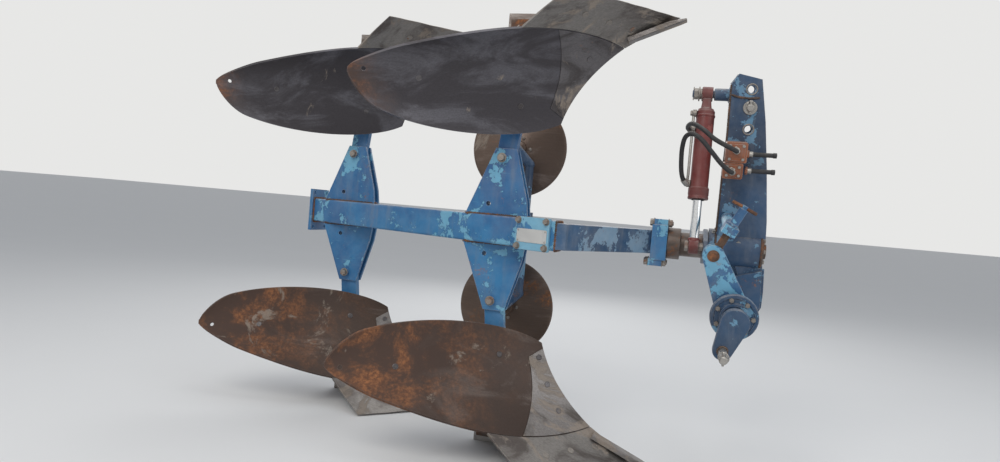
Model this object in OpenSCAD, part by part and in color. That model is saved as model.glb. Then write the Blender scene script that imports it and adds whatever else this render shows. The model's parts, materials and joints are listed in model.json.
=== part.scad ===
// Two-furrow reversible mouldboard plough with a three-point headstock.
// X is the direction of travel, Z is up. The turnover frame is drawn round the swivel axis, with
// x = 0 at the front leg's shear bolt; the headstock leans by lean_deg about that axis.

/* [Beam] */
// Height of the main beam
beam_h = 100; // [90:1:120]
// Width of the main beam
beam_w = 100; // [90:1:115]
// Wall of the main beam
beam_wall = 12; // [6:1:20]
// Height of the cranked front section
front_h = 88; // [76:1:96]
// Width of the cranked front section
front_w = 84; // [70:1:95]
// Rear end of the main beam behind the front leg
beam_rear_x = -955; // [-1000:5:-930]
// Place of the corner between the main beam and the front section
corner_x = 205; // [195:1:215]

/* [Legs] */
// Distance from the front leg to the rear leg along the travel direction
leg_pitch_x = 759; // [740:1:800]
// Furrow width, the sideways distance from leg to leg
furrow_w = 355; // [340:1:370]
// Centre plane of the front leg, measured from the swivel axis
leg_y = -263; // [-270:1:-255]
// Thickness of each leg plate
leg_plate_t = 12; // [8:1:14]
// Length of the leg plates from the swivel plane to the tip
leg_tip_z = 293; // [285:1:305]
// Height of the shear bolt
bolt_z = 258; // [250:1:264]
// Height of the spare hole
hole_z = 91; // [80:1:100]
// Thickness of the shank
shank_t = 30; // [25:1:34]
// Width of the shank
shank_w = 72; // [66:1:74]
// Radius of the spare hole
spare_hole_r = 8; // [6:0.5:10]

/* [Plough body] */
// Depth of the share's edge below the swivel plane
ground_z = 785; // [770:1:800]
// Distance of the share's tip in front of the shear bolt
tip_x = 575; // [560:1:590]
// Width of cut of the share
share_w = 335; // [325:1:345]
// Thickness of the mouldboard
board_t = 10; // [8:0.5:12]
// Thickness of the share
share_t = 12; // [10:0.5:14]
// Height of the landside
landside_h = 105; // [95:1:115]
// Length of the landside
landside_l = 400; // [380:5:420]
// Thickness of the landside
landside_t = 14; // [12:1:16]

/* [Disc coulters] */
// Diameter of the disc coulter
disc_d = 400; // [380:5:420]
// Thickness of the disc coulter
disc_t = 5; // [4:0.5:8]
// Height of the disc's centre from the swivel plane
disc_z = 331; // [325:1:345]
// Place of the disc's centre along the travel direction
disc_x = -41; // [-50:1:-30]

/* [Headstock] */
// Lean of the headstock about the swivel axis
lean_deg = 10; // [8:0.5:12]
// Distance between the faces of the tower's side plates
tower_gap = 64; // [58:1:72]
// Thickness of the tower's side plates
tower_t = 12; // [8:1:14]
// Radius of the top-link holes
link_hole_r = 13; // [12.8:0.1:14]
// Radius of the swivel shaft
shaft_r = 45; // [43:0.5:47]
// Wall of the bearing housing
housing_wall = 24; // [20:1:28]

/* [Hitch] */
// Distance between the shoulders of the hitch pins
hitch_span = 825; // [815:1:840]
// Radius of the hitch pins
hitch_pin_r = 14; // [13:0.5:15]
// Length of the hitch pins
hitch_pin_l = 90; // [80:1:100]
// Throw of the crank axle
crank_throw = 101; // [95:1:106]
// Turn of the crank axle
crank_turn = 17; // [10:1:22]
// Radius of the round bearing flange
flange_r = 78; // [72:1:82]

/* [Turnover cylinder] */
// Height of the barrel's pivot above the swivel axis
pivot_z = 558; // [550:1:566]
// Radius of the crank on the swivel shaft
crank_r = 140; // [137:1:144]
// Outer radius of the barrel
barrel_r = 32; // [30:0.5:34]
// Radius of the piston rod
rod_r = 16; // [14:0.5:17]
// Outer radius of the rod's eye
eye_r = 27; // [25:0.5:28]
// Turn of the plough from one working side to the other
turn_deg = 160; // [158:0.5:162]

/* [Hidden] */
$fn = 48;
BIG = 2000;
SEAT = 0.3;
RUN = 0.06;
AXIAL_GAP = 0.7;

// Colours of the paint and the bare metals
BLUE = "steelblue";
DARK_BLUE = "#3d5a80";
MAROON = "#7a2d2b";
RUST = "#6b4a38";
SOIL = "#4a4340";
STEEL = "#8d8a86";

// Turnover frame
beam_slope = furrow_w / leg_pitch_x;
beam_angle = atan(beam_slope);
beam_y0 = leg_y - 29;
function beam_y(x) = beam_y0 - beam_slope * x;
clamp_x0 = 537;
clamp_w = 58;
clamp_half_h = 88;

// Body frame: x from the shear bolt, y from the landside plane towards the furrow side, z up
landside_y = leg_y + shank_t / 2 + leg_plate_t - 4;
tip = [tip_x, -landside_t / 2, -ground_z];
wing = [tip_x - 330, -share_w, -ground_z];
TOP_EDGE = [[190, 0, -396], [45, -60, -306], [-300, -280, -298], [-444, -415, -414]];
LOW_EDGE = [[388, 0, -676], [170, -260, -742], [-120, -380, -612], [-436, -418, -530]];
JOINT_U = 0.42;
BOARD_NU = 26;
BOARD_NV = 10;

// Headstock frame
housing_x0 = 742;
housing_x1 = 925;
axle_x = 836;
axle_z = -159;
tower_y = tower_gap / 2;
slab_x = 689;
web_x0 = slab_x + barrel_r + 1;
web_t = 16;
hitch_y = hitch_span / 2;
lever_y = -hitch_y + 120.5;
boss_x = 753;
boss_z = 33;
trunnion_x = 797;
trunnion_z = 122;
crank_dx = -crank_throw * sin(crank_turn);
crank_dz = -crank_throw * cos(crank_turn);
crank_t = 26;
pin_angle = turn_deg / 2;
eye_y = -crank_r * sin(pin_angle);
eye_z = crank_r * cos(pin_angle);
swing_deg = atan2(-eye_y, pivot_z - eye_z);
rest_l = norm([eye_y, pivot_z - eye_z]);
barrel_l0 = 62;
barrel_l1 = 374;
end_wall = 20;

// Origin: the middle of the near hitch pin
origin_h = [axle_x + crank_dx, -hitch_y - (hitch_pin_l + SEAT) / 2, axle_z + crank_dz];
function lean(p) = [p[0], p[1] * cos(lean_deg) - p[2] * sin(lean_deg),
                    p[1] * sin(lean_deg) + p[2] * cos(lean_deg)];
origin = lean(origin_h);

module turnover_frame() translate(-origin) children();
module headstock_frame() translate(-origin) rotate([lean_deg, 0, 0]) children();

// A cylinder of radius r from x0 to x1 along X
module rod_x(r, x0, x1, y = 0, z = 0) translate([x0, y, z]) rotate([0, 90, 0]) cylinder(r = r, h = x1 - x0);
// A cylinder of radius r from y0 to y1 along Y
module rod_y(r, y0, y1, x = 0, z = 0) translate([x, y1, z]) rotate([90, 0, 0]) cylinder(r = r, h = y1 - y0);
// A plate of an outline drawn in X and Z, from y0 to y1
module plate_y(y0, y1) translate([0, y1, 0]) rotate([90, 0, 0]) linear_extrude(y1 - y0) children();
// A plate of an outline drawn in Y and Z, from x0 to x1
module plate_x(x0, x1) translate([x0, 0, 0]) rotate([90, 0, 90]) linear_extrude(x1 - x0) children();

// Curves of the mouldboard
function bezier(p, t) = let (s = 1 - t)
    s * s * s * p[0] + 3 * s * s * t * p[1] + 3 * s * t * t * p[2] + t * t * t * p[3];
function board_pull(u) = [-56 * (1 - u) - 34 * u - 120 * u * (1 - u), 120 * u * (1 - u) + 34 * u, -14 * (1 - u) - 30 * u];
// The tail is rounded: past TAIL_U the board narrows as the end of an ellipse
TAIL_U = 0.82;
function tail_width(u) = u < TAIL_U ? 1 : max(0.16, sqrt(1 - pow((u - TAIL_U) / (1 - TAIL_U), 2)));
function board_u(i) = 1 - pow(1 - i / BOARD_NU, 1.3);
function board_v(i, j) = 0.5 + (j / BOARD_NV - 0.5) * tail_width(board_u(i));
// Point of the working face at u along the board and v from its lower to its upper edge
function face_point(u, v) = let (low = bezier(LOW_EDGE, u), top = bezier(TOP_EDGE, u),
                                 mid = (low + top) / 2 + board_pull(u), s = 1 - v)
    s * s * low + 2 * s * v * mid + v * v * top;
function unit(a) = a / norm(a);
function face_normal(u, v) = let (d = 0.01, a = min(max(u, d), 1 - d), b = min(max(v, d), 1 - d))
    unit(cross(face_point(a + d, b) - face_point(a - d, b), face_point(a, b + d) - face_point(a, b - d)));
// The back of the board lies one thickness behind its face
function back_point(u, v) = face_point(u, v) - board_t * face_normal(u, v);

// Closed solid between two grids of (nu + 1) by (nv + 1) points
module grid_solid(front, back, nu, nv) {
    n = (nu + 1) * (nv + 1);
    function id(i, j) = i * (nv + 1) + j;
    cells = [for (i = [0:nu - 1]) for (j = [0:nv - 1]) [i, j]];
    faces = concat(
        [for (c = cells) [id(c[0], c[1]), id(c[0] + 1, c[1]), id(c[0] + 1, c[1] + 1)]],
        [for (c = cells) [id(c[0], c[1]), id(c[0] + 1, c[1] + 1), id(c[0], c[1] + 1)]],
        [for (c = cells) [n + id(c[0], c[1]), n + id(c[0] + 1, c[1] + 1), n + id(c[0] + 1, c[1])]],
        [for (c = cells) [n + id(c[0], c[1]), n + id(c[0], c[1] + 1), n + id(c[0] + 1, c[1] + 1)]],
        [for (i = [0:nu - 1]) [id(i, 0), n + id(i, 0), n + id(i + 1, 0)]],
        [for (i = [0:nu - 1]) [id(i, 0), n + id(i + 1, 0), id(i + 1, 0)]],
        [for (i = [0:nu - 1]) [id(i, nv), n + id(i + 1, nv), n + id(i, nv)]],
        [for (i = [0:nu - 1]) [id(i, nv), id(i + 1, nv), n + id(i + 1, nv)]],
        [for (j = [0:nv - 1]) [id(0, j), n + id(0, j + 1), n + id(0, j)]],
        [for (j = [0:nv - 1]) [id(0, j), id(0, j + 1), n + id(0, j + 1)]],
        [for (j = [0:nv - 1]) [id(nu, j), n + id(nu, j), n + id(nu, j + 1)]],
        [for (j = [0:nv - 1]) [id(nu, j), n + id(nu, j + 1), id(nu, j + 1)]]);
    polyhedron(points = concat(front, back), faces = faces);
}

// Placing of the four plough bodies: front or rear leg, lower or upper side of the swivel plane
module at_body(place) {
    rear = place == "rear_lower" || place == "rear_upper";
    upper = place == "front_upper" || place == "rear_upper";
    shift = rear ? [-leg_pitch_x, furrow_w, 0] : [0, 0, 0];
    turnover_frame() translate(shift) mirror([0, 0, upper ? 1 : 0]) children();
}

// Leg of two plates, welded under the beam, with the shear bolt's head and the spare hole
LEG_TOP_X = [-123, 110];
LEG_TIP_X = [-27, 50];
SPARE_HOLE_X = -39;
module leg_outline() polygon([
    [LEG_TOP_X[0], -beam_h / 2], [LEG_TIP_X[0], -leg_tip_z], [LEG_TIP_X[1], -leg_tip_z],
    [LEG_TOP_X[1] - 8, -beam_h / 2 - 60], [LEG_TOP_X[1], -beam_h / 2]]);
module leg() color(BLUE) difference() {
    union() {
        for (y0 = [leg_y - shank_t / 2 - leg_plate_t, leg_y + shank_t / 2])
            plate_y(y0, y0 + leg_plate_t) leg_outline();
        plate_y(leg_y - shank_t / 2, leg_y + shank_t / 2)
            polygon([[LEG_TOP_X[0] + 20, -beam_h / 2], [LEG_TOP_X[0] + 40, -beam_h / 2 - 50],
                     [LEG_TOP_X[1] - 40, -beam_h / 2 - 50], [LEG_TOP_X[1] - 30, -beam_h / 2]]);
        for (side = [-1, 1])
            rod_y(15, leg_y + side * (shank_t / 2 + leg_plate_t + 6) - 6,
                  leg_y + side * (shank_t / 2 + leg_plate_t + 6) + 6, 0, -bolt_z);
    }
    rod_y(spare_hole_r, leg_y - BIG, leg_y + BIG, SPARE_HOLE_X, -hole_z);
}

// Shank from between the leg plates down to the frog
shank_top_z = beam_h / 2 + 50 + SEAT;
shank_low_z = 560 - SEAT;
SHANK_LEAN = 30;
module shank() color(BLUE) plate_y(leg_y - shank_t / 2 + SEAT, leg_y + shank_t / 2 - SEAT)
    polygon([[12 - shank_w / 2 - 4, -shank_top_z], [12 + shank_w / 2 - 4, -shank_top_z],
             [12 + shank_w / 2, -leg_tip_z], [12 + shank_w / 2 + SHANK_LEAN, -shank_low_z],
             [12 - shank_w / 2 + SHANK_LEAN, -shank_low_z], [12 - shank_w / 2, -leg_tip_z]]);

// Frog: the plate beside the landside, the saddle behind the mouldboard and the stay to its tail
frog_t = 20;
stay_r = 12;
// Each stay's foot on the frog (x, z), and the corner of the board's grid (i, j) that its other end seats on
FROG_STAYS = [[4, -ground_z + 80, 14, 5], [250, -ground_z + 95, 3, 4]];
function board_seat(i, j) = let (u = board_u(i), v = board_v(i, j))
    face_point(u, v) + (stay_r + SEAT) * face_normal(u, v);
module frog() color(SOIL) translate([0, landside_y, 0]) {
    difference() {
        plate_y(-landside_t - frog_t, -landside_t - SEAT)
            polygon([[-6, -560], [100, -560], [176, -600], [300, -672], [330, -ground_z + 26],
                     [-16, -ground_z + 26], [-16, -ground_z + landside_h]]);
        for (x = [20, 200]) rod_y(7, -200, 0, x, -ground_z + 60);
    }
    translate([40, -landside_t - frog_t - 82, -ground_z + 62]) rotate([0, -22, 0]) cube([158, 84, 16]);
    for (stay = FROG_STAYS) hull() {
        translate([stay[0], -landside_t - frog_t - 6, stay[1]]) sphere(r = stay_r, $fn = 24);
        translate(board_seat(stay[2], stay[3])) sphere(r = stay_r, $fn = 24);
    }
}

module mouldboard() color(SOIL) translate([0, landside_y, 0])
    grid_solid([for (i = [0:BOARD_NU]) for (j = [0:BOARD_NV]) face_point(board_u(i), board_v(i, j))],
               [for (i = [0:BOARD_NU]) for (j = [0:BOARD_NV]) back_point(board_u(i), board_v(i, j))],
               BOARD_NU, BOARD_NV);

// Share: ruled from the cutting edge on the ground to the mouldboard's lower edge
SHARE_NU = 10;
SHARE_NV = 3;
SHARE_EDGE = 5;
JOINT_GAP = 3.4;
function share_face(u, v) = let (b = tip + (wing - tip) * u + [0, 0, SHARE_EDGE], low = bezier(LOW_EDGE, u * JOINT_U),
                                 a = low + unit(b - low) * JOINT_GAP)
    b + (a - b) * v;
function share_normal(u) = unit(cross(wing - tip, share_face(u, 1) - share_face(u, 0)));
function above_ground(p) = [p[0], p[1], max(p[2], -ground_z)];
function share_back(u, v) = above_ground(share_face(u, v) - share_t * share_normal(u) * (0.35 + 0.4 * v));
module share() color(STEEL) translate([0, landside_y, 0]) {
    grid_solid([for (i = [0:SHARE_NU]) for (j = [0:SHARE_NV]) share_face(i / SHARE_NU, j / SHARE_NV)],
               [for (i = [0:SHARE_NU]) for (j = [0:SHARE_NV]) share_back(i / SHARE_NU, j / SHARE_NV)],
               SHARE_NU, SHARE_NV);
}

module landside() color(SOIL) translate([0, landside_y, 0])
    plate_y(-landside_t, 0)
        polygon([[370 - landside_l, -ground_z], [tip_x - 120, -ground_z], [tip_x - 200, -ground_z + 60],
                 [330, -ground_z + landside_h], [370 - landside_l, -ground_z + landside_h]]);

// Main beam: a box section, cranked at the corner where it takes the front section
module beam_plan(half, x0, x1) polygon([
    [x0, beam_y(x0) - half / cos(beam_angle)], [x1, beam_y(x1) - half / cos(beam_angle)],
    [x1, beam_y(x1) + half / cos(beam_angle)], [x0, beam_y(x0) + half / cos(beam_angle)]]);
module main_beam() color(BLUE) turnover_frame() difference() {
    translate([0, 0, -beam_h / 2]) linear_extrude(beam_h) beam_plan(beam_w / 2, beam_rear_x, corner_x + 42);
    translate([0, 0, -beam_h / 2 + beam_wall]) linear_extrude(beam_h - 2 * beam_wall)
        beam_plan(beam_w / 2 - beam_wall, beam_rear_x - 10, corner_x + 42 - beam_wall);
}
module front_plan(half) {
    a = [corner_x + 42 + SEAT, beam_y(corner_x + 42)];
    b = [clamp_x0 - 80, -34];
    d = unit([b[0] - a[0], b[1] - a[1]]);
    n = [-d[1], d[0]];
    polygon([[a[0], a[1] - half * 1.45], [a[0] + 34, a[1] - half * 1.35], b - n * half + [26, 0],
             [clamp_x0, -half], [clamp_x0, half], [clamp_x0 - 70, half], b + n * half - [10, 0],
             [a[0], a[1] + half * 1.2]]);
}
module front_section() color(DARK_BLUE) turnover_frame() translate([0, 0, -front_h / 2])
    linear_extrude(front_h) front_plan(front_w / 2);
module beam_end_plate() color(BLUE) turnover_frame()
    translate([beam_rear_x - SEAT, beam_y(beam_rear_x), 0]) difference() {
        translate([-14, -70, -92]) cube([14, 140, 184]);
        for (y = [-52, 52], z = [-76, 76]) rod_x(8, -BIG, BIG, y, z);
    }
module side_pad() color(BLUE) turnover_frame()
    translate([corner_x - 10, beam_y(corner_x - 10), 0]) rotate([0, 0, -beam_angle])
        translate([-80, -beam_w / 2 - 12, -56]) cube([140, 12, 112]);

// Swivel shaft with its clamp flange and the crank for the cylinder
module swivel_shaft() color(STEEL) turnover_frame() union() {
    rod_x(shaft_r, clamp_x0 + clamp_w + SEAT, housing_x1 + 14);
    rod_x(shaft_r + 14, clamp_x0 + clamp_w + SEAT, slab_x - barrel_r - 14);
    rod_x(shaft_r + 14, housing_x1 + 4, housing_x1 + 22);
}
module clamp_flange() color(BLUE) turnover_frame() union() {
    translate([clamp_x0 + SEAT, -62, -66]) cube([clamp_w - SEAT, 124, 132]);
    for (side = [-1, 1])
        translate([clamp_x0 + SEAT - (side < 0 ? 6 : -6), -56, side * (clamp_half_h - 14) - 14])
            cube([clamp_w - 8, 112, 28]);
}
module crank_web() color(DARK_BLUE) turnover_frame() rotate([lean_deg, 0, 0]) difference() {
    plate_x(web_x0, web_x0 + web_t) hull() {
        circle(r = shaft_r + 20);
        translate([eye_y, eye_z]) circle(r = 26);
    }
    rod_x(shaft_r, web_x0 - 10, web_x0 + web_t + 10);
}

// Disc coulters of the rear body
arm_x = disc_x + 60;
disc_y = leg_y + furrow_w + 38;
module coulter_bar() color(BLUE) turnover_frame() difference() {
    translate([arm_x - 25, beam_y(arm_x) + beam_w / 2 / cos(beam_angle) + 12, -25])
        cube([50, disc_y + 22 - 34 - beam_y(arm_x) - beam_w / 2 / cos(beam_angle) - 12, 50]);
    translate([arm_x, disc_y - 34 - 12, -BIG / 2]) cylinder(r = 17 + SEAT, h = BIG);
}
module coulter_arm() color(DARK_BLUE) turnover_frame() {
    translate([arm_x, disc_y - 46, -disc_z + 60]) cylinder(r = 17, h = disc_z - 60 - SEAT);
    translate([arm_x, disc_y - 46, -70]) cylinder(r = 30, h = 44.5);
    hull() {
        translate([arm_x, disc_y - 46, -disc_z + 66]) sphere(r = 20, $fn = 24);
        rod_y(16, disc_y - 60, disc_y - 34, disc_x, -disc_z);
    }
    rod_y(12, disc_y - 40, disc_y + 22, disc_x, -disc_z);
}
module coulter_disc() color(RUST) turnover_frame() translate([disc_x, disc_y, -disc_z]) difference() {
    union() {
        rod_y(disc_d / 2, -disc_t / 2, disc_t / 2);
        rod_y(38, -26, 20);
    }
    rod_y(12 + RUN, -BIG, BIG);
}

// Tower of the headstock: two side plates and a back plate, open to the front for the top link. The
// plates end at the bearing housing, to which they are welded, so each is a solid of its own
module tower_side() polygon([
    [789, 633], [867, 616], [893, 470], [915, 304], [935, 119], [951, -144], [950, -200], [936, -232],
    [905, -236], [882, -150], [829, -18], [766, 60], [766, 293], [769, 407], [765, 597]]);
module tower_hole(x, z, r) rod_y(r, -BIG, BIG, x, z);
TOWER_HOLES = [[836, 581], [838, 442]];
TOP_PIN = [836, 517];
module tower_plate(y0) difference() {
    plate_y(y0, y0 + tower_t) tower_side();
    for (hole = TOWER_HOLES) tower_hole(hole[0], hole[1], link_hole_r);
    tower_hole(TOP_PIN[0], TOP_PIN[1], 12.7 + SEAT);
    rod_x(shaft_r + housing_wall + SEAT, housing_x0 - 10, 1000);
}
module tower() color(DARK_BLUE) headstock_frame() {
    for (y0 = [-tower_y - tower_t, tower_y]) tower_plate(y0);
    plate_y(-tower_y + SEAT, tower_y - SEAT)
        polygon([[765, 597], [769, 407], [766, 293], [766, 110], [780, 110], [780, 293], [783, 407], [779, 597]]);
    difference() {
        union() {
            rod_x(shaft_r + housing_wall, housing_x0, housing_x1);
            plate_y(-tower_y + SEAT, tower_y - SEAT) polygon([
                [810, -60], [900, -60], [900, -100], [axle_x + 30, axle_z + 38], [axle_x - 20, axle_z + 45]]);
        }
        rod_x(shaft_r + RUN, housing_x0 - 10, 1000);
    }
}
module top_link_pin() color(STEEL) headstock_frame() union() {
    rod_y(12.7, -tower_y - tower_t - 22, tower_y + tower_t + 18, TOP_PIN[0], TOP_PIN[1]);
    rod_y(24, -tower_y - tower_t - 16, -tower_y - tower_t - SEAT, TOP_PIN[0], TOP_PIN[1]);
}
// Crank axle: the tube across the foot of the tower, the round flange and the two crank ends
module axle_tube() color(DARK_BLUE) headstock_frame() union() {
    rod_y(40, -hitch_y + 84 + SEAT, hitch_y - 90, axle_x, axle_z);
    for (y0 = [-tower_y - tower_t - 16, tower_y + tower_t])
        plate_y(y0 + (y0 < 0 ? -SEAT : SEAT), y0 + 16) polygon([
            [axle_x - 60, axle_z + 10], [axle_x - 20, axle_z + 60], [936, -60], [944, -200], [900, -225],
            [axle_x - 20, axle_z - 50]]);
}
// On the near side the crank points down, on the far side it points up
module crank_near() color(DARK_BLUE) headstock_frame() union() {
    plate_y(-hitch_y, -hitch_y + crank_t) hull() {
        translate([axle_x, axle_z]) circle(r = 46);
        translate([axle_x + crank_dx, axle_z + crank_dz]) circle(r = 32);
    }
    rod_y(34, -hitch_y + crank_t, -hitch_y + 66, axle_x, axle_z);
}
module crank_far() color(DARK_BLUE) headstock_frame() union() {
    plate_y(hitch_y - crank_t, hitch_y) hull() {
        translate([axle_x, axle_z]) circle(r = 46);
        translate([axle_x - crank_dx, axle_z - crank_dz]) circle(r = 32);
    }
    rod_y(34, hitch_y - 90 + SEAT, hitch_y - crank_t, axle_x, axle_z);
}
module hitch_pin_near() color(STEEL) headstock_frame()
    rod_y(hitch_pin_r, -hitch_y - hitch_pin_l, -hitch_y - SEAT, axle_x + crank_dx, axle_z + crank_dz);
module hitch_pin_far() color(STEEL) headstock_frame()
    rod_y(hitch_pin_r, hitch_y + SEAT, hitch_y + hitch_pin_l, axle_x - crank_dx, axle_z - crank_dz);
module bearing_flange() color(BLUE) headstock_frame() difference() {
    union() {
        rod_y(flange_r, -hitch_y + 66, -hitch_y + 84, axle_x, axle_z);
        for (i = [0:6]) rod_y(7, -hitch_y + 60, -hitch_y + 70, axle_x + 62 * cos(i * 360 / 7), axle_z + 62 * sin(i * 360 / 7));
    }
    rod_y(34 + SEAT, -hitch_y, -hitch_y + 66 + 0.1, axle_x, axle_z);
}

// Adjusting lever on the crank axle, its spindle and the trunnion that carries the spindle
module adjusting_lever() color(BLUE) headstock_frame() difference() {
    plate_y(lever_y - 14, lever_y + 14) hull() {
        translate([axle_x, axle_z]) circle(r = 56);
        translate([boss_x, boss_z]) circle(r = 36);
    }
    rod_y(40 + SEAT, -BIG, BIG, axle_x, axle_z);
    rod_y(15 + SEAT, -BIG, BIG, boss_x, boss_z);
    translate([boss_x, lever_y, boss_z]) rotate([0, spindle_tilt, 0])
        translate([-BIG, -8 - SEAT, -18]) cube([BIG + BIG, 2 * (8 + SEAT), 200]);
}
spindle_tilt = atan2(trunnion_x - boss_x, trunnion_z - boss_z);
module adjusting_spindle() color(RUST) headstock_frame() {
    rod_y(15, lever_y - 20, lever_y + 20, boss_x, boss_z);
    translate([boss_x, lever_y, boss_z]) rotate([0, spindle_tilt, 0]) {
        translate([-14, -8, -14]) cube([28, 16, 56]);
        translate([0, 0, 37.5]) cylinder(r = 13, h = 144.5);
        translate([0, 0, 116 + SEAT]) cylinder(r = 19, h = 66);
        translate([-48, 0, 186]) rotate([0, 90, 0]) cylinder(r = 7, h = 96);
        translate([0, 0, 178]) cylinder(r = 12, h = 14);
    }
}
module spindle_trunnion() color(BLUE) headstock_frame() difference() {
    union() {
        rod_y(20, lever_y + 30, -tower_y - tower_t - SEAT, trunnion_x, trunnion_z);
        translate([trunnion_x, lever_y, trunnion_z]) rotate([0, spindle_tilt, 0])
            translate([-24, -24, -16]) cube([48, 60, 32]);
    }
    translate([boss_x, lever_y, boss_z]) rotate([0, spindle_tilt, 0]) cylinder(r = 13 + SEAT, h = BIG);
}

// Stub axle at the top of the tower, the double-acting cylinder and its valve
module cylinder_stub_axle() color(STEEL) headstock_frame() union() {
    rod_x(22, slab_x + 24, 764, 0, pivot_z);
    rod_x(14, slab_x - 50, slab_x + 24, 0, pivot_z);
    rod_x(20, slab_x - 50, slab_x - 36, 0, pivot_z);
}
module cylinder_frame() headstock_frame() translate([slab_x, 0, pivot_z]) rotate([-swing_deg, 0, 0]) children();
module cylinder_barrel() color(MAROON) cylinder_frame() difference() {
    union() {
        rod_x(26, -19, 19);
        translate([0, 0, -barrel_l1]) cylinder(r = barrel_r, h = barrel_l1 - barrel_l0);
        translate([0, 0, -barrel_l1 - 8]) cylinder(r = barrel_r + 4, h = 40);
        translate([-14, -17, -barrel_l0 - 4]) cube([28, 34, barrel_l0 - 6]);
    }
    rod_x(14 + RUN, -BIG, BIG);
    translate([0, 0, -barrel_l1 - 20]) cylinder(r = rod_r + RUN, h = barrel_l1 - barrel_l0 - end_wall + 20);
}
module cylinder_pipe() color(STEEL) cylinder_frame() {
    translate([-barrel_r - 8, -12, -150]) cylinder(r = 5, h = 76);
    translate([-barrel_r - 13 + 5 - SEAT, -12, -150]) rotate([0, 90, 0]) cylinder(r = 9, h = 13 - 5);
    translate([-barrel_r - 16, -6, -barrel_l1 + 46]) rotate([0, 90, 0]) cylinder(r = 13, h = 15.5);
}
module cylinder_rod() color(STEEL) cylinder_frame() union() {
    translate([0, 0, -rest_l + 10]) cylinder(r = rod_r, h = rest_l - 10 - barrel_l1 + 150);
    rod_x(eye_r, -17, 17, 0, -rest_l);
    rod_x(13, -26, web_x0 - slab_x - AXIAL_GAP, 0, -rest_l);
}
VALVE = [[759, 327, 81, 72], [755, 270, 76, 56]];
module valve_block() color(RUST) headstock_frame() {
    for (v = VALVE) translate([v[0] + 8, -tower_y - tower_t - SEAT - 62, v[1]]) cube([v[2] - 8, 62, v[3]]);
    for (z = [358, 300]) {
        rod_x(11, 830, 858, -tower_y - tower_t - 34, z);
        rod_x(8, 858, 930, -tower_y - tower_t - 34, z);
    }
    for (p = [[800, 372], [792, 300]]) rod_y(12, -tower_y - tower_t - 92, -tower_y - tower_t - 60, p[0], p[1]);
}

// Short hoses from the valve to the cylinder, as tubes swept along their routes
HOSE_R = 8;
HOSE_SIDES = 8;
HOSE_UPPER = [[800, -136.4, 372], [800, -144, 372], [790, -160, 380], [760, -178, 392], [720, -184, 410], [688, -176, 436],
              [664, -150, 452], [650, -110, 448], [644, -76, 440], [642, -54, 430]];
HOSE_LOWER = [[792, -136.4, 300], [792, -144, 300], [780, -158, 306], [750, -174, 330], [712, -184, 372], [680, -186, 408],
              [656, -178, 428], [642, -166, 420], [636, -152, 380], [634, -138, 330], [634, -122, 290],
              [636, -108, 256]];
function tangent(route, i) = unit(route[min(i + 1, len(route) - 1)] - route[max(i - 1, 0)]);
function ring_point(route, i, k) = let (t = tangent(route, i), a = unit(cross(t, [0.13, 0.31, 0.94])), b = cross(t, a),
                                        w = 360 * k / HOSE_SIDES)
    route[i] + HOSE_R * (cos(w) * a + sin(w) * b);
module hose(route) {
    n = len(route);
    m = HOSE_SIDES;
    polyhedron(
        points = [for (i = [0:n - 1]) for (k = [0:m - 1]) ring_point(route, i, k)],
        faces = concat(
            [for (i = [0:n - 2]) for (k = [0:m - 1]) [i * m + k, (i + 1) * m + k, (i + 1) * m + (k + 1) % m]],
            [for (i = [0:n - 2]) for (k = [0:m - 1]) [i * m + k, (i + 1) * m + (k + 1) % m, i * m + (k + 1) % m]],
            [[for (k = [0:m - 1]) k]], [[for (k = [m - 1:-1:0]) (n - 1) * m + k]]));
}
module short_hose_upper() color("#222222") headstock_frame() hose(HOSE_UPPER);
module short_hose_lower() color("#222222") headstock_frame() hose(HOSE_LOWER);

tower();
axle_tube();
bearing_flange();
crank_near();
crank_far();
hitch_pin_near();
hitch_pin_far();
adjusting_lever();
adjusting_spindle();
spindle_trunnion();
cylinder_stub_axle();
valve_block();
top_link_pin();
short_hose_upper();
short_hose_lower();
cylinder_barrel();
cylinder_pipe();
cylinder_rod();
swivel_shaft();
crank_web();
clamp_flange();
front_section();
main_beam();
beam_end_plate();
side_pad();
coulter_bar();
coulter_arm();  // coulter_arm_lower
translate(-origin) mirror([0, 0, 1]) translate(origin) coulter_arm();  // coulter_arm_upper
coulter_disc();  // coulter_disc_lower
translate(-origin) mirror([0, 0, 1]) translate(origin) coulter_disc();  // coulter_disc_upper
for (place = ["front_lower", "front_upper", "rear_lower", "rear_upper"]) {
    at_body(place) leg();
    at_body(place) shank();
    at_body(place) frog();
    at_body(place) mouldboard();
    at_body(place) share();
    at_body(place) landside();
}
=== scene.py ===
"""Dressed model of a two-furrow reversible mouldboard plough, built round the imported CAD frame.

Lengths inside the classes are millimetres in the plough's own frames: the turnover frame lies round
the swivel axis, with x = 0 at the front leg's shear bolt, and the headstock frame leans about that
axis. Every finished mesh is in metres in the row frame.
"""
import json
import logging
import math
from dataclasses import dataclass, field, replace
from enum import Enum

import bmesh
import bpy
import numpy as np
from bpy.types import Material, Mesh, Node, NodeSocket, NodeTree, Object
from mathutils import Matrix

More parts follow.
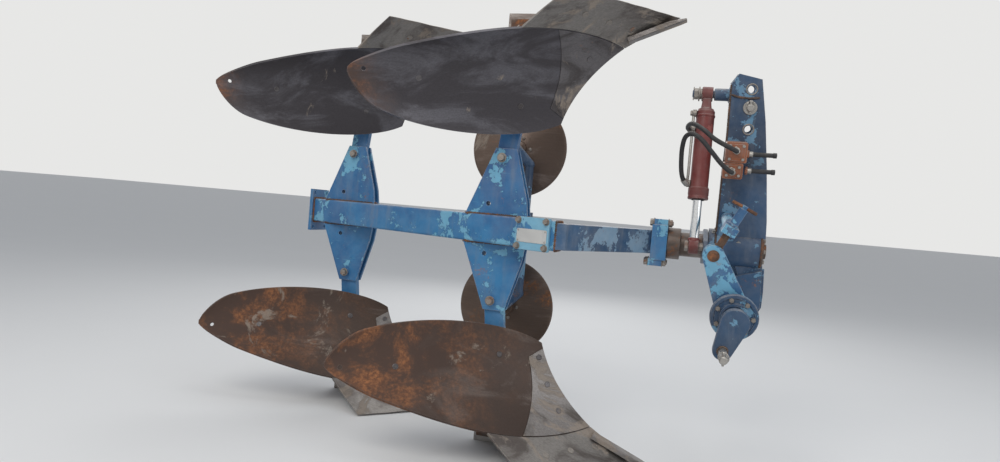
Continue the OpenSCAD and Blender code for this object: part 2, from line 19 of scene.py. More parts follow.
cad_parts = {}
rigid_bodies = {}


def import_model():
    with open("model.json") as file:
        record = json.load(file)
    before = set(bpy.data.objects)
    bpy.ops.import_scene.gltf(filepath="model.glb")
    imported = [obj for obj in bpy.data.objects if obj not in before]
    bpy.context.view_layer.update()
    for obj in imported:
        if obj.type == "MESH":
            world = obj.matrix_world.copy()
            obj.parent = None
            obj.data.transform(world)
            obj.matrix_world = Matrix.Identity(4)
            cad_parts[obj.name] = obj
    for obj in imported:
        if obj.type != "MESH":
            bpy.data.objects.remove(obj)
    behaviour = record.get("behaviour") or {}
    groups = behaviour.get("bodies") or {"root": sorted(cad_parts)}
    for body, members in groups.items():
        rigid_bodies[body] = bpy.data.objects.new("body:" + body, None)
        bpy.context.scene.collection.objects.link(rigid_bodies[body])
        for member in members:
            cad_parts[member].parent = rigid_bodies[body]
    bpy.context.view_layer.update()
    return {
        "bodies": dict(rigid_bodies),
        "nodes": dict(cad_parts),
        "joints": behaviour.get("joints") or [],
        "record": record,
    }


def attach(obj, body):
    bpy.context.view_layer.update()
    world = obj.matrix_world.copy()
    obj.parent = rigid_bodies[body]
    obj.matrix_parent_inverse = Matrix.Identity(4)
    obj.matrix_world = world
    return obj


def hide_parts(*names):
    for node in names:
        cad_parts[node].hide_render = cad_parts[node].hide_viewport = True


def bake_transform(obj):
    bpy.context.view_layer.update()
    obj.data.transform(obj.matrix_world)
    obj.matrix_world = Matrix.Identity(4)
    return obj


LOG = logging.getLogger("plough")
Array = np.ndarray
Point = tuple | np.ndarray
Feed = NodeSocket | float | tuple
Sockets = bpy.types.bpy_prop_collection
MM = 0.001

# Headstock: its lean about the swivel axis, and the crank axle that carries the hitch pins.
LEAN = math.radians(10)
AXLE_X, AXLE_Z = 836.0, -159.0
CRANK_LENGTH, CRANK_LEAN = 101.0, math.radians(17)
CRANK_DX, CRANK_DZ = CRANK_LENGTH * math.sin(CRANK_LEAN), CRANK_LENGTH * math.cos(CRANK_LEAN)
HITCH_HALF = 412.5
PIN_START, PIN_END = 0.3, 90.0
PIN_MIDDLE = (806.470458, -457.65, -255.586781)

# Turnover frame: the legs, the landside plane, the ground and the slanting beam.
LEG_Y, LANDSIDE_Y, GROUND_Z = -263.0, -240.0, -785.0
LEG_PITCH, FURROW = 759.0, 355.0
BEAM_OFFSET = 29.0
BEAM_SLOPE = FURROW / LEG_PITCH
BEAM_ANGLE = math.atan(BEAM_SLOPE)

# Directions: NEAR points to the camera side. No hose runs along HOSE_REF, and no weld along WELD_REF.
X_AXIS, Y_AXIS, Z_AXIS = (1.0, 0.0, 0.0), (0.0, 1.0, 0.0), (0.0, 0.0, 1.0)
CENTRE, NEAR = (0.0, 0.0, 0.0), (0.0, -1.0, 0.0)
HOSE_REF, WELD_REF = (0.13, 0.31, 0.94), (0.31, 0.23, 0.92)


def leaned(p: Array) -> Array:
    """Turns headstock points into the turnover frame: y' = y cos a - z sin a, z' = y sin a + z cos a.

    Args:
        p: points in headstock millimetres.

    Returns:
        The points in turnover millimetres.
    """
    q = np.array(p, float)
    y, z = q[..., 1].copy(), q[..., 2].copy()
    q[..., 1] = y * math.cos(LEAN) - z * math.sin(LEAN)
    q[..., 2] = y * math.sin(LEAN) + z * math.cos(LEAN)
    return q


# The row frame's origin is the middle of the near hitch pin.
ORIGIN = leaned(PIN_MIDDLE)


class Body(Enum):
    """The rigid bodies of the CAD model."""

    HEADSTOCK = "headstock"
    BARREL = "cylinder_barrel"
    ROD = "cylinder_rod"
    TURNOVER = "turnover"
    DISC_LOWER = "disc_lower"
    DISC_UPPER = "disc_upper"


class Place(Enum):
    """The four plough bodies: front or rear leg, below or above the swivel plane."""

    FRONT_LOWER = "front_lower"
    FRONT_UPPER = "front_upper"
    REAR_LOWER = "rear_lower"
    REAR_UPPER = "rear_upper"

    @property
    def upper(self) -> bool:
        """True for the bodies that stand in the air at rest."""
        return self.value.endswith("upper")

    @property
    def rear(self) -> bool:
        """True for the bodies of the rear furrow."""
        return self.value.startswith("rear")


def turnover(p: Array) -> Array:
    """Millimetres in the turnover frame to metres in the row frame."""
    return (np.asarray(p, float) - ORIGIN) * MM


def headstock(p: Array) -> Array:
    """Millimetres in the headstock frame to metres in the row frame."""
    return turnover(leaned(p))


def at_place(p: Array, place: Place) -> Array:
    """Shifts the front lower leg's points to another leg and mirrors them in z for an upper body.

    Args:
        p: points in turnover millimetres.
        place: the plough body that they go to.

    Returns:
        The points in metres in the row frame.
    """
    q = np.array(p, float)
    if place.upper:
        q[..., 2] = -q[..., 2]
    if place.rear:
        q = q + np.array([-LEG_PITCH, FURROW, 0.0])
    return turnover(q)


def beam_y(x: float | Array) -> float | Array:
    """Centre line of the main beam: y falls by the furrow width over one leg pitch."""
    return LEG_Y - BEAM_OFFSET - BEAM_SLOPE * x


def unit(v: Array) -> Array:
    """Vectors scaled to length one: v / |v|."""
    v = np.asarray(v, float)
    return v / np.maximum(np.linalg.norm(v, axis=-1, keepdims=True), 1e-12)


def bezier(points: list, t: Array) -> Array:
    """Cubic Bezier curve: (1-t)^3 a + 3 (1-t)^2 t b + 3 (1-t) t^2 c + t^3 d.

    Args:
        points: its four control points.
        t: values from 0 to 1, of any shape.

    Returns:
        One point for each value.
    """
    a, b, c, d = np.asarray(points, float)
    t = np.asarray(t, float)[..., None]
    s = 1 - t
    return s**3 * a + 3 * s * s * t * b + 3 * s * t * t * c + t**3 * d


@dataclass
class Skin:
    """Points in millimetres and the faces between them."""

    verts: Array  # array of (n, 3) points
    faces: list[list[int]]  # lists of point numbers, one list per face


def joined(*skins: Skin) -> Skin:
    """Several skins as one, with the point numbers of each moved past those before it.

    Args:
        *skins: the skins, in order.

    Returns:
        The joined skin.
    """
    verts, faces, start = [], [], 0
    for skin in skins:
        verts.append(skin.verts)
        faces += [[i + start for i in face] for face in skin.faces]
        start += len(skin.verts)
    return Skin(np.concatenate(verts), faces)


def in_turnover(*skins: Skin) -> Skin:
    """Turnover skins joined and moved to the row frame."""
    skin = joined(*skins)
    return Skin(turnover(skin.verts), skin.faces)


def in_headstock(*skins: Skin) -> Skin:
    """Headstock skins joined and moved to the row frame."""
    skin = joined(*skins)
    return Skin(headstock(skin.verts), skin.faces)


def quads(nu: int, nv: int, wrap: bool = False) -> Array:
    """Quads of a grid: point (i, j) has the number i nv + j, and each quad joins four neighbours.

    Args:
        nu: number of rows.
        nv: number of columns.
        wrap: joins the last column to the first.

    Returns:
        (n, 4) point numbers.
    """
    i = np.arange(nu - 1)[:, None]
    j = np.arange(nv if wrap else nv - 1)[None, :]
    k = (j + 1) % nv
    return np.stack([i * nv + j, (i + 1) * nv + j, (i + 1) * nv + k, i * nv + k], -1).reshape(-1, 4)


def tube_faces(rings: int, sides: int) -> list[list[int]]:
    """Faces of a row of rings: quads between neighbours and one face over each end."""
    last = (rings - 1) * sides
    return quads(rings, sides, wrap=True).tolist() + [list(range(sides)), list(range(last, last + sides))]


def shell(front: Array, back: Array) -> Skin:
    """Closed solid between two grids of the same size, with a rim of quads round their edges.

    Args:
        front: (nu, nv, 3) points of the working face.
        back: (nu, nv, 3) points behind them.

    Returns:
        The solid's skin.
    """
    nu, nv = front.shape[:2]
    n = nu * nv
    ids = np.arange(n).reshape(nu, nv)
    face = quads(nu, nv)
    loop = np.concatenate([ids[:, 0], ids[-1, 1:], ids[-2::-1, -1], ids[0, -2:0:-1]])
    rim = np.stack([loop, loop + n, np.roll(loop, -1) + n, np.roll(loop, -1)], -1)
    faces = np.concatenate([face, face[:, ::-1] + n, rim])
    return Skin(np.concatenate([front.reshape(-1, 3), back.reshape(-1, 3)]), faces.tolist())


def sweep(path: Array, section: Array, ref: Point = Z_AXIS, scale: Array | None = None) -> Skin:
    """Profile carried along a path: p(i, k) = path(i) + s(i) (x(k) A(i) + y(k) B(i)), A and B square to it.

    Args:
        path: (n, 3) points of the centre line.
        section: (m, 2) closed profile.
        ref: a direction that the path never follows, from which A is worked out.
        scale: optional size of the profile at each path point.

    Returns:
        The swept skin, closed at both ends.
    """
    path = np.asarray(path, float)
    along = unit(np.gradient(path, axis=0))
    a = unit(np.cross(along, np.asarray(ref, float)))
    b = np.cross(along, a)
    s = np.ones(len(path)) if scale is None else np.asarray(scale, float)
    x, y = section[:, 0], section[:, 1]
    ring = x[None, :, None] * a[:, None] + y[None, :, None] * b[:, None]
    pts = path[:, None] + s[:, None, None] * ring
    return Skin(pts.reshape(-1, 3), tube_faces(*pts.shape[:2]))


def even_turn(count: int) -> Array:
    """Angles at even steps round a full turn."""
    return np.linspace(0, 2 * np.pi, count, endpoint=False)


def circle(radius: float, sides: int = 20) -> Array:
    """Round profile: (r cos w, r sin w)."""
    w = even_turn(sides)
    return np.stack([radius * np.cos(w), radius * np.sin(w)], -1)


def smooth_path(points: list, count: int) -> Array:
    """Catmull-Rom curve through the points, at even steps of its parameter.

    Each stretch is 0.5 (2 p1 + (p2 - p0) t + (2 p0 - 5 p1 + 4 p2 - p3) t^2 + (3 p1 - p0 - 3 p2 + p3) t^3).

    Args:
        points: the points that it passes through.
        count: number of points on the curve.

    Returns:
        (count, 3) points.
    """
    p = np.asarray(points, float)
    p = np.concatenate([[2 * p[0] - p[1]], p, [2 * p[-1] - p[-2]]])
    u = np.linspace(0, len(points) - 1, count)
    i = np.minimum(u.astype(int), len(points) - 2)
    t = (u - i)[:, None]
    a, b, c, d = p[i], p[i + 1], p[i + 2], p[i + 3]
    return 0.5 * (2 * b + (c - a) * t + (2 * a - 5 * b + 4 * c - d) * t**2
                  + (3 * b - a - 3 * c + d) * t**3)


def tube(points: list, radius: float, count: int = 48, sides: int = 20, ref: tuple = HOSE_REF) -> Skin:
    """Round tube along a smooth curve through the points."""
    return sweep(smooth_path(points, count), circle(radius, sides), ref)


def turned(profile: list, centre: Point, axis: Point, sides: int = 48) -> Skin:
    """Body of revolution: p(i, w) = centre + h(i) axis + r(i) (cos w A + sin w B).

    Args:
        profile: pairs of radius and height along the axis, from pole to pole.
        centre: the point where the height is zero.
        axis: direction of the axis.
        sides: number of steps round it.

    Returns:
        The turned skin.
    """
    prof = np.asarray(profile, float)
    n = unit(np.asarray(axis, float))
    other = np.array(X_AXIS if abs(n[0]) < 0.8 else Y_AXIS)
    a = unit(np.cross(n, other))
    b = np.cross(n, a)
    w = even_turn(sides)
    ring = np.cos(w)[:, None] * a + np.sin(w)[:, None] * b
    pts = np.asarray(centre, float) + prof[:, 1, None, None] * n + prof[:, 0, None, None] * ring[None]
    return Skin(pts.reshape(-1, 3), tube_faces(len(prof), sides))


def drum(radius: float, length: float, edge: float = 1.5, start: float = 0.0) -> list:
    """Profile of a short shaft with eased edges."""
    return [(0, start), (radius - edge, start), (radius, start + edge), (radius, start + length - edge),
            (radius - edge, start + length), (0, start + length)]


def slab(outline: Array, origin: Point, e1: Point, e2: Point, depth: Point) -> Skin:
    """Plate of a drawn outline: p = origin + x e1 + y e2, carried by depth.

    Args:
        outline: (x, y) corners in order.
        origin: where x = y = 0.
        e1: direction of x.
        e2: direction of y.
        depth: from one face of the plate to the other.

    Returns:
        The plate's skin.
    """
    xy = np.asarray(outline, float)
    low = np.asarray(origin, float) + xy[:, :1] * np.asarray(e1, float) + xy[:, 1:] * np.asarray(e2, float)
    n = len(xy)
    i = np.arange(n)
    j = (i + 1) % n
    sides = np.stack([i, j, j + n, i + n], -1).tolist()
    return Skin(np.concatenate([low, low + np.asarray(depth, float)]), [i.tolist(), (i + n).tolist()] + sides)


def hex_bolt(centre: Point, axis: Point, size: float = 24.0, washer: bool = True, stud: float = 0.0) -> Skin:
    """Hexagon head on a washer: a six-sided turned body of radius size / sqrt 3.

    Args:
        centre: where the washer or head sits.
        axis: direction that the head points in.
        size: width across its flats.
        washer: puts a washer under the head.
        stud: how far the bolt's end stands out of the nut, or 0 for a plain head.

    Returns:
        The bolt's skin.
    """
    r, h = size / 1.732, size * 0.55
    lift = 2.5 if washer else 0.0
    head = [(0, lift), (r * 0.97, lift), (r, lift + 0.8), (r, lift + h * 0.8), (r * 0.87, lift + h), (0, lift + h)]
    parts = [turned(head, centre, axis, 6)]
    if washer:
        parts.append(turned(drum(size * 0.72, 2.6, 0.5), centre, axis, 28))
    if stud:
        parts.append(turned(drum(size * 0.32, stud + h, 1.2), centre, axis, 20))
    return joined(*parts)


def around(centre: tuple, radius: float, axis: int, angles: Array) -> list[tuple]:
    """Points on a circle square to X or Y: its two other coordinates move by r cos w and r sin w.

    Args:
        centre: middle of the circle.
        radius: its radius.
        axis: 0 for a circle square to X, 1 for one square to Y.
        angles: the angles w.

    Returns:
        One point for each angle.
    """
    pts = np.tile(np.asarray(centre, float), (len(angles), 1))
    pts[:, 1 - axis] += radius * np.cos(angles)
    pts[:, 2] += radius * np.sin(angles)
    return [tuple(p) for p in pts]


def weld(points: list, radius: float = 4.5, pitch: float = 7.0) -> Skin:
    """Weld bead: a tube whose radius ripples with its length s, r (1 + 0.16 sin(2 pi s / pitch) + wander).

    Args:
        points: corners of the seam.
        radius: radius of the bead.
        pitch: length of one ripple.

    Returns:
        The bead's skin, thinner towards its ends.
    """
    p = np.asarray(points, float)
    seg = np.linalg.norm(np.diff(p, axis=0), axis=1)
    total = np.concatenate([[0], np.cumsum(seg)])
    s = np.linspace(0, total[-1], max(8, int(total[-1] / (pitch / 4))))
    path = np.stack([np.interp(s, total, p[:, k]) for k in range(3)], -1)
    wander = 0.1 * np.sin(0.37 * s + 1.3)
    ripple = 1 + 0.16 * np.sin(2 * np.pi * s / pitch) + wander
    ends = np.clip(np.minimum(s, total[-1] - s) / radius, 0.25, 1)
    return sweep(path, circle(radius, 8), WELD_REF, ripple * ends)


def finish_mesh(mesh: Mesh, merge: float = 1e-5, flatten: bool = False) -> None:
    """Merges doubled points and turns every face outwards.

    Args:
        mesh: the mesh to finish.
        merge: distance below which points become one, in metres.
        flatten: also joins the triangles that lie in one plane.
    """
    bm = bmesh.new()
    bm.from_mesh(mesh)
    bmesh.ops.remove_doubles(bm, verts=bm.verts, dist=merge)
    bmesh.ops.dissolve_degenerate(bm, dist=merge * 0.5, edges=bm.edges)
    if flatten:
        bmesh.ops.dissolve_limit(bm, angle_limit=math.radians(0.6), verts=bm.verts, edges=bm.edges)
    bmesh.ops.recalc_face_normals(bm, faces=bm.faces)
    bm.to_mesh(mesh)
    bm.free()


def new_object(name: str, mesh: Mesh) -> Object:
    """Puts a mesh into the scene as an object at the origin.

    Args:
        name: the object's name.
        mesh: its mesh.

    Returns:
        The object.
    """
    obj = bpy.data.objects.new(name, mesh)
    bpy.context.scene.collection.objects.link(obj)
    return obj


def skin_object(name: str, skin: Skin) -> Object:
    """Makes an object of a skin whose points are metres in the row frame.

    Args:
        name: the object's name.
        skin: its points and faces.

    Returns:
        The object, with its mesh merged and its faces turned outwards.
    """
    mesh = bpy.data.meshes.new(name)
    mesh.from_pydata(skin.verts.tolist(), [], skin.faces)
    finish_mesh(mesh)
    return new_object(name, mesh)


def smooth(mesh: Mesh, angle: float) -> None:
    """Shades a mesh smooth between edges sharper than an angle in degrees."""
    mesh.shade_smooth()
    mesh.set_sharp_from_angle(angle=math.radians(angle))


def ease(obj: Object, width: float, limit: float = 28.0) -> None:
    """Gives an object eased edges.

    Args:
        obj: the object.
        width: their width, in millimetres.
        limit: edges sharper than this are eased, in degrees.
    """
    mod = obj.modifiers.new("eased edges", "BEVEL")
    mod.width, mod.segments = width * MM, 2
    mod.limit_method, mod.angle_limit = "ANGLE", math.radians(limit)
    mod.harden_normals, mod.use_clamp_overlap = True, True


@dataclass
class Workshop:
    """Turns skins and CAD nodes into finished pieces."""

    nodes: dict[str, Object]  # the CAD nodes by name
    finishes: dict[str, Material] = field(default_factory=dict)  # the materials by name
    made: list[str] = field(default_factory=list)  # names of the pieces made so far

    def _settle(self, obj: Object, finish: str, bevel: float, angle: float) -> None:
        """Gives a new object its finish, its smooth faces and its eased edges.

        Args:
            obj: the new object.
            finish: name of its material.
            bevel: width of its eased edges, in mm.
            angle: edges past this stay sharp, in degrees.
        """
        obj.data.materials.clear()
        obj.data.materials.append(self.finishes[finish])
        smooth(obj.data, angle)
        if bevel > 0:
            ease(obj, bevel)
        self.made.append(obj.name)
        LOG.info("%s: %d faces", obj.name, len(obj.data.polygons))

    def piece(self, name: str, skin: Skin, finish: str, slot: str, body: Body, stands_for: tuple = (),
              bevel: float = 0.0, angle: float = 32.0, ride: bool = True) -> Object:
        """Makes one piece of a skin whose points are metres in the row frame.

        Args:
            name: the piece's name.
            skin: its points and faces.
            finish: name of its material.
            slot: the record's material slot; not used.
            body: the CAD body that it moves with.
            stands_for: CAD nodes that it replaces.
            bevel: width of its eased edges, in mm.
            angle: edges past this stay sharp, in degrees.
            ride: False leaves the piece attached to no body.

        Returns:
            The new object.
        """
        obj = skin_object(name, skin)
        self._settle(obj, finish, bevel, angle)
        if ride:
            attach(obj, body.value)
        if stands_for:
            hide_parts(*stands_for)
        return obj

    def bolts(self, name: str, skin: Skin, body: Body) -> None:
        """Makes one piece of bolts, nuts or small fittings."""
        self.piece(name, skin, "bolt", "worn_steel", body)

    def welds(self, name: str, skin: Skin, body: Body) -> None:
        """Makes one piece of weld beads."""
        self.piece(name, skin, "weld", "headstock_paint", body)

    def dressed(self, node: str, finish: str, slot: str, body: Body, bevel: float = 2.0) -> None:
        """Makes a merged copy of a CAD node with eased edges, which stands for that node.

        Args:
            node: name of the CAD node.
            finish: name of its material.
            slot: the record's material slot; not used.
            body: the CAD body that it moves with.
            bevel: width of its eased edges, in mm.
        """
        name = node + "_dressed"
        mesh = self.nodes[node].data.copy()
        mesh.name = name
        finish_mesh(mesh, flatten=True)
        obj = new_object(name, mesh)
        self._settle(obj, finish, bevel, 32.0)
        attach(obj, body.value)
        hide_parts(node)


# --- Shader nodes ---


class Net:
    """Short way to lay out a node tree: each method makes one node and returns its output."""

    def __init__(self, tree: NodeTree) -> None:
        """Keeps the tree."""
        self.tree = tree

    def node(self, kind: str, **values: object) -> Node:
        """Makes a node.

        Args:
            kind: Blender's name of its type.
            **values: attributes to set on it.

        Returns:
            The node.
        """
        made = self.tree.nodes.new(kind)
        for key, value in values.items():
            setattr(made, key, value)
        return made

    def feed(self, socket: NodeSocket, value: Feed) -> None:
        """Links an output to the socket, or writes a plain value on it.

        Args:
            socket: the input.
            value: an output, a number, or a colour of three parts.
        """
        if isinstance(value, NodeSocket):
            self.tree.links.new(value, socket)
        elif isinstance(value, tuple):
            short_of_alpha = len(value) == 3 and len(socket.default_value) == 4
            socket.default_value = value + (1.0,) if short_of_alpha else value
        else:
            socket.default_value = value

    def calc(self, operation: str, a: Feed, b: Feed, clamp: bool = False) -> NodeSocket:
        """One step of arithmetic on two values.

        Args:
            operation: Blender's name of the operation.
            a: first value.
            b: second value.
            clamp: keeps the result between 0 and 1.

        Returns:
            The result's output.
        """
        made = self.node("ShaderNodeMath", operation=operation, use_clamp=clamp)
        self.feed(made.inputs[0], a)
        self.feed(made.inputs[1], b)
        return made.outputs[0]

    def plus(self, a: Feed, b: Feed, clamp: bool = False) -> NodeSocket:
        """The sum a + b."""
        return self.calc("ADD", a, b, clamp)

    def minus(self, a: Feed, b: Feed, clamp: bool = False) -> NodeSocket:
        """The difference a - b."""
        return self.calc("SUBTRACT", a, b, clamp)

    def times(self, a: Feed, b: Feed, clamp: bool = False) -> NodeSocket:
        """The product a b."""
        return self.calc("MULTIPLY", a, b, clamp)

    def larger(self, a: Feed, b: Feed, clamp: bool = False) -> NodeSocket:
        """The larger of a and b."""
        return self.calc("MAXIMUM", a, b, clamp)

    def blend(self, factor: Feed, a: Feed, b: Feed) -> NodeSocket:
        """Mixes two colours: (1 - factor) a + factor b.

        Args:
            factor: share of the second colour.
            a: first colour.
            b: second colour.

        Returns:
            The mixed colour's output.
        """
        made = self.node("ShaderNodeMix", data_type="RGBA")
        self.feed(made.inputs[0], factor)
        self.feed(made.inputs[6], a)
        self.feed(made.inputs[7], b)
        return made.outputs[2]

    def step(self, value: Feed, low: float, high: float, out_low: float = 0.0,
             out_high: float = 1.0) -> NodeSocket:
        """Smooth step of a value between two limits.

        Args:
            value: the value.
            low: where the step starts.
            high: where it ends.
            out_low: result at its start.
            out_high: result at its end.

        Returns:
            The result's output.
        """
        made = self.node("ShaderNodeMapRange", interpolation_type="SMOOTHSTEP")
        for socket, number in zip(made.inputs[:5], (value, low, high, out_low, out_high)):
            self.feed(socket, number)
        return made.outputs[0]

    def object_point(self) -> NodeSocket:
        """Point in the piece's own coordinates."""
        return self.node("ShaderNodeTexCoord").outputs["Object"]

    def noise(self, vector: NodeSocket, scale: Feed, detail: float = 5.0, rough: float = 0.6,
              twist: float = 0.0) -> NodeSocket:
        """Cloudy noise.

        Args:
            vector: the point that it is read at.
            scale: clouds per metre, roughly.
            detail: number of finer layers.
            rough: strength of the finer layers.
            twist: how far the clouds are drawn about.

        Returns:
            The output of its value.
        """
        made = self.node("ShaderNodeTexNoise")
        for key, value in (("Vector", vector), ("Scale", scale), ("Detail", detail), ("Roughness", rough),
                           ("Distortion", twist)):
            self.feed(made.inputs[key], value)
        return made.outputs["Fac"]

    def stretched(self, vector: NodeSocket, scale: tuple, move: tuple = CENTRE) -> NodeSocket:
        """Scales and moves the point that a pattern reads.

        Args:
            vector: the point.
            scale: factor along each axis.
            move: shift along each axis.

        Returns:
            The output of the new point.
        """
        made = self.node("ShaderNodeMapping")
        self.feed(made.inputs["Vector"], vector)
        made.inputs["Scale"].default_value = scale
        made.inputs["Location"].default_value = move
        return made.outputs[0]

    def axis(self, vector: NodeSocket, name: str) -> NodeSocket:
        """One coordinate of a vector.

        Args:
            vector: output of the vector.
            name: X, Y or Z.

        Returns:
            The coordinate's output.
        """
        made = self.node("ShaderNodeSeparateXYZ")
        self.feed(made.inputs[0], vector)
        return made.outputs[name]

    def group(self, tree: NodeTree, **values: Feed) -> Sockets:
        """Places a node group.

        Args:
            tree: the group's tree.
            **values: its input values.

        Returns:
            The group's outputs by name.
        """
        made = self.node("ShaderNodeGroup")
        made.node_tree = tree
        for key, value in values.items():
            self.feed(made.inputs[key], value)
        return made.outputs


def new_group(name: str, inputs: dict[str, float], outputs: tuple) -> tuple[Net, Sockets, Sockets]:
    """Makes an empty shader group.

    Args:
        name: the group's name.
        inputs: input names with their usual values.
        outputs: output names; those that end in Colour are colours.

    Returns:
        The net of the group, the values that come in by name, and the sockets that go out by name.
    """
    tree = bpy.data.node_groups.new(name, "ShaderNodeTree")
    for key, value in inputs.items():
        socket = tree.interface.new_socket(name=key, in_out="INPUT", socket_type="NodeSocketFloat")
        socket.default_value = value
    for key in outputs:
        kind = "NodeSocketColor" if key.endswith("Colour") else "NodeSocketFloat"
        tree.interface.new_socket(name=key, in_out="OUTPUT", socket_type=kind)
    net = Net(tree)
    return net, net.node("NodeGroupInput").outputs, net.node("NodeGroupOutput").inputs


class Effects:
    """The shader groups that several finishes share, each built once."""

    def __init__(self) -> None:
        """Builds all the groups."""
        self.edge_wear = self._edge_wear()
        self.flaked_paint = self._flaked_paint()
        self.rust = self._rust()
        self.dust = self._dust()
        self.grain = self._grain()
        self.soil = self._soil()

    @staticmethod
    def _edge_wear() -> NodeTree:
        """Wear along edges: 1 - (rounded normal . true normal), broken up by noise.

        Returns:
            The group's tree.
        """
        net, inp, out = new_group("edge wear", {"Amount": 1.0, "Breakup": 60.0, "Radius": 0.004}, ("Mask",))
        bevel = net.node("ShaderNodeBevel", samples=4)
        net.feed(bevel.inputs["Radius"], inp["Radius"])
        dot = net.node("ShaderNodeVectorMath", operation="DOT_PRODUCT")
        net.feed(dot.inputs[0], bevel.outputs[0])
        net.feed(dot.inputs[1], net.node("ShaderNodeNewGeometry").outputs["Normal"])
        curve = net.times(net.minus(1.0, dot.outputs["Value"]), 9.0)
        cloud = net.noise(net.object_point(), inp["Breakup"], 4.0, 0.7)
        broken = net.times(curve, net.step(cloud, 0.38, 0.66))
        net.feed(out["Mask"], net.times(broken, inp["Amount"], True))
        return net.tree

    @staticmethod
    def _flaked_paint() -> NodeTree:
        """Flakes of paint: large cloudy areas, torn by finer noise, with a thin rim and long scratches.

        Returns:
            The group's tree.
        """
        net, inp, out = new_group("flaked paint", {"Scale": 9.0, "Cover": 0.3, "Scratches": 0.3},
                                  ("Mask", "Rim", "Height"))
        point = net.object_point()
        big = net.noise(point, inp["Scale"], 3.0, 0.55, 0.4)
        fine = net.noise(point, net.times(inp["Scale"], 7.0), 5.0, 0.75)
        field_ = net.plus(net.times(big, 0.72), net.times(fine, 0.28))
        level = net.minus(0.66, net.times(inp["Cover"], 0.34))
        over = net.minus(field_, level)
        long = net.noise(net.stretched(point, (6.0, 60.0, 110.0), (0.3, 0.1, 0.7)), 1.0, 4.0, 0.7, 0.6)
        scratch = net.times(net.step(long, 0.66, 0.7), inp["Scratches"])
        patch = net.step(over, 0.0, 0.006)
        net.feed(out["Mask"], net.larger(patch, scratch, True))
        rim = net.minus(net.step(over, -0.012, 0.0), patch, True)
        net.feed(out["Rim"], rim)
        net.feed(out["Height"], net.minus(1.0, patch, True))
        return net.tree

    @staticmethod
    def _rust() -> NodeTree:
        """Rust of three tones by noise at two scales.

        Returns:
            The group's tree.
        """
        net, inp, out = new_group("rust", {"Scale": 14.0, "Amount": 0.5}, ("Mask", "Colour", "Height"))
        point = net.object_point()
        broad = net.noise(point, inp["Scale"], 6.0, 0.7, 0.3)
        fine = net.noise(point, net.times(inp["Scale"], 11.0), 4.0, 0.7)
        level = net.minus(0.78, net.times(inp["Amount"], 0.5))
        mixed = net.plus(net.times(broad, 0.75), net.times(fine, 0.25))
        above = net.minus(mixed, level)
        net.feed(out["Mask"], net.step(above, -0.02, 0.1))
        warm = net.blend(net.step(fine, 0.35, 0.7), (0.13, 0.058, 0.032), (0.33, 0.135, 0.055))
        net.feed(out["Colour"], net.blend(net.step(broad, 0.42, 0.62), (0.075, 0.045, 0.034), warm))
        net.feed(out["Height"], fine)
        return net.tree

    @staticmethod
    def _dust() -> NodeTree:
        """Dust that lies on faces whose own normal points up, thicker where noise is high.

        Returns:
            The group's tree.
        """
        net, inp, out = new_group("dust", {"Amount": 0.5, "Scale": 18.0}, ("Mask",))
        up = net.axis(net.node("ShaderNodeTexCoord").outputs["Normal"], "Z")
        cloud = net.noise(net.object_point(), inp["Scale"], 6.0, 0.7)
        lying = net.step(up, 0.35, 0.95, 0.16, 1.0)
        dusty = net.times(lying, net.step(cloud, 0.3, 0.72))
        net.feed(out["Mask"], net.times(dusty, inp["Amount"], True))
        return net.tree

    @staticmethod
    def _grain() -> NodeTree:
        """Fine grain of rolled or ground steel: two noises, one drawn out along X.

        Returns:
            The group's tree.
        """
        net, inp, out = new_group("grain", {"Scale": 220.0, "Streaks": 0.5}, ("Value", "Height"))
        point = net.object_point()
        speck = net.noise(point, inp["Scale"], 3.0, 0.6)
        streak = net.noise(net.stretched(point, (9.0, 150.0, 150.0)), 1.6, 4.0, 0.65)
        mixed = net.plus(net.times(speck, net.minus(1.0, inp["Streaks"])),
                         net.times(streak, inp["Streaks"]))
        net.feed(out["Value"], mixed)
        net.feed(out["Height"], speck)
        return net.tree

    @staticmethod
    def _soil() -> NodeTree:
        """Caked soil: cloudy patches with a crumbly height and two earth tones.

        Returns:
            The group's tree.
        """
        net, inp, out = new_group("soil", {"Scale": 7.0, "Amount": 0.4}, ("Mask", "Colour", "Height"))
        point = net.object_point()
        cloud = net.noise(point, inp["Scale"], 8.0, 0.68, 0.8)
        crumb = net.noise(point, 130.0, 5.0, 0.7)
        level = net.minus(0.72, net.times(inp["Amount"], 0.42))
        net.feed(out["Mask"], net.step(net.minus(cloud, level), 0.0, 0.07))
        net.feed(out["Colour"], net.blend(crumb, (0.20, 0.155, 0.12), (0.40, 0.34, 0.28)))
        net.feed(out["Height"], crumb)
        return net.tree


def new_material(name: str) -> tuple[Net, Node]:
    """Makes a material with one Principled BSDF.

    Args:
        name: the material's name.

    Returns:
        The net of its tree and the BSDF.
    """
    material = bpy.data.materials.new(name)
    material.use_nodes = True
    material.node_tree.nodes.clear()
    net = Net(material.node_tree)
    shader = net.node("ShaderNodeBsdfPrincipled")
    net.feed(net.node("ShaderNodeOutputMaterial").inputs["Surface"], shader.outputs[0])
    return net, shader


def bumped(net: Net, shader: Node, height: NodeSocket, strength: float, distance: float) -> None:
    """Feeds a height through a Bump node into the shader's normal.

    Args:
        net: the material's net.
        shader: its BSDF.
        height: output of the height.
        strength: strength of the bump.
        distance: height of its relief, in metres.
    """
    bump = net.node("ShaderNodeBump")
    bump.inputs["Strength"].default_value = strength
    bump.inputs["Distance"].default_value = distance
    net.feed(bump.inputs["Height"], height)
    net.feed(shader.inputs["Normal"], bump.outputs[0])


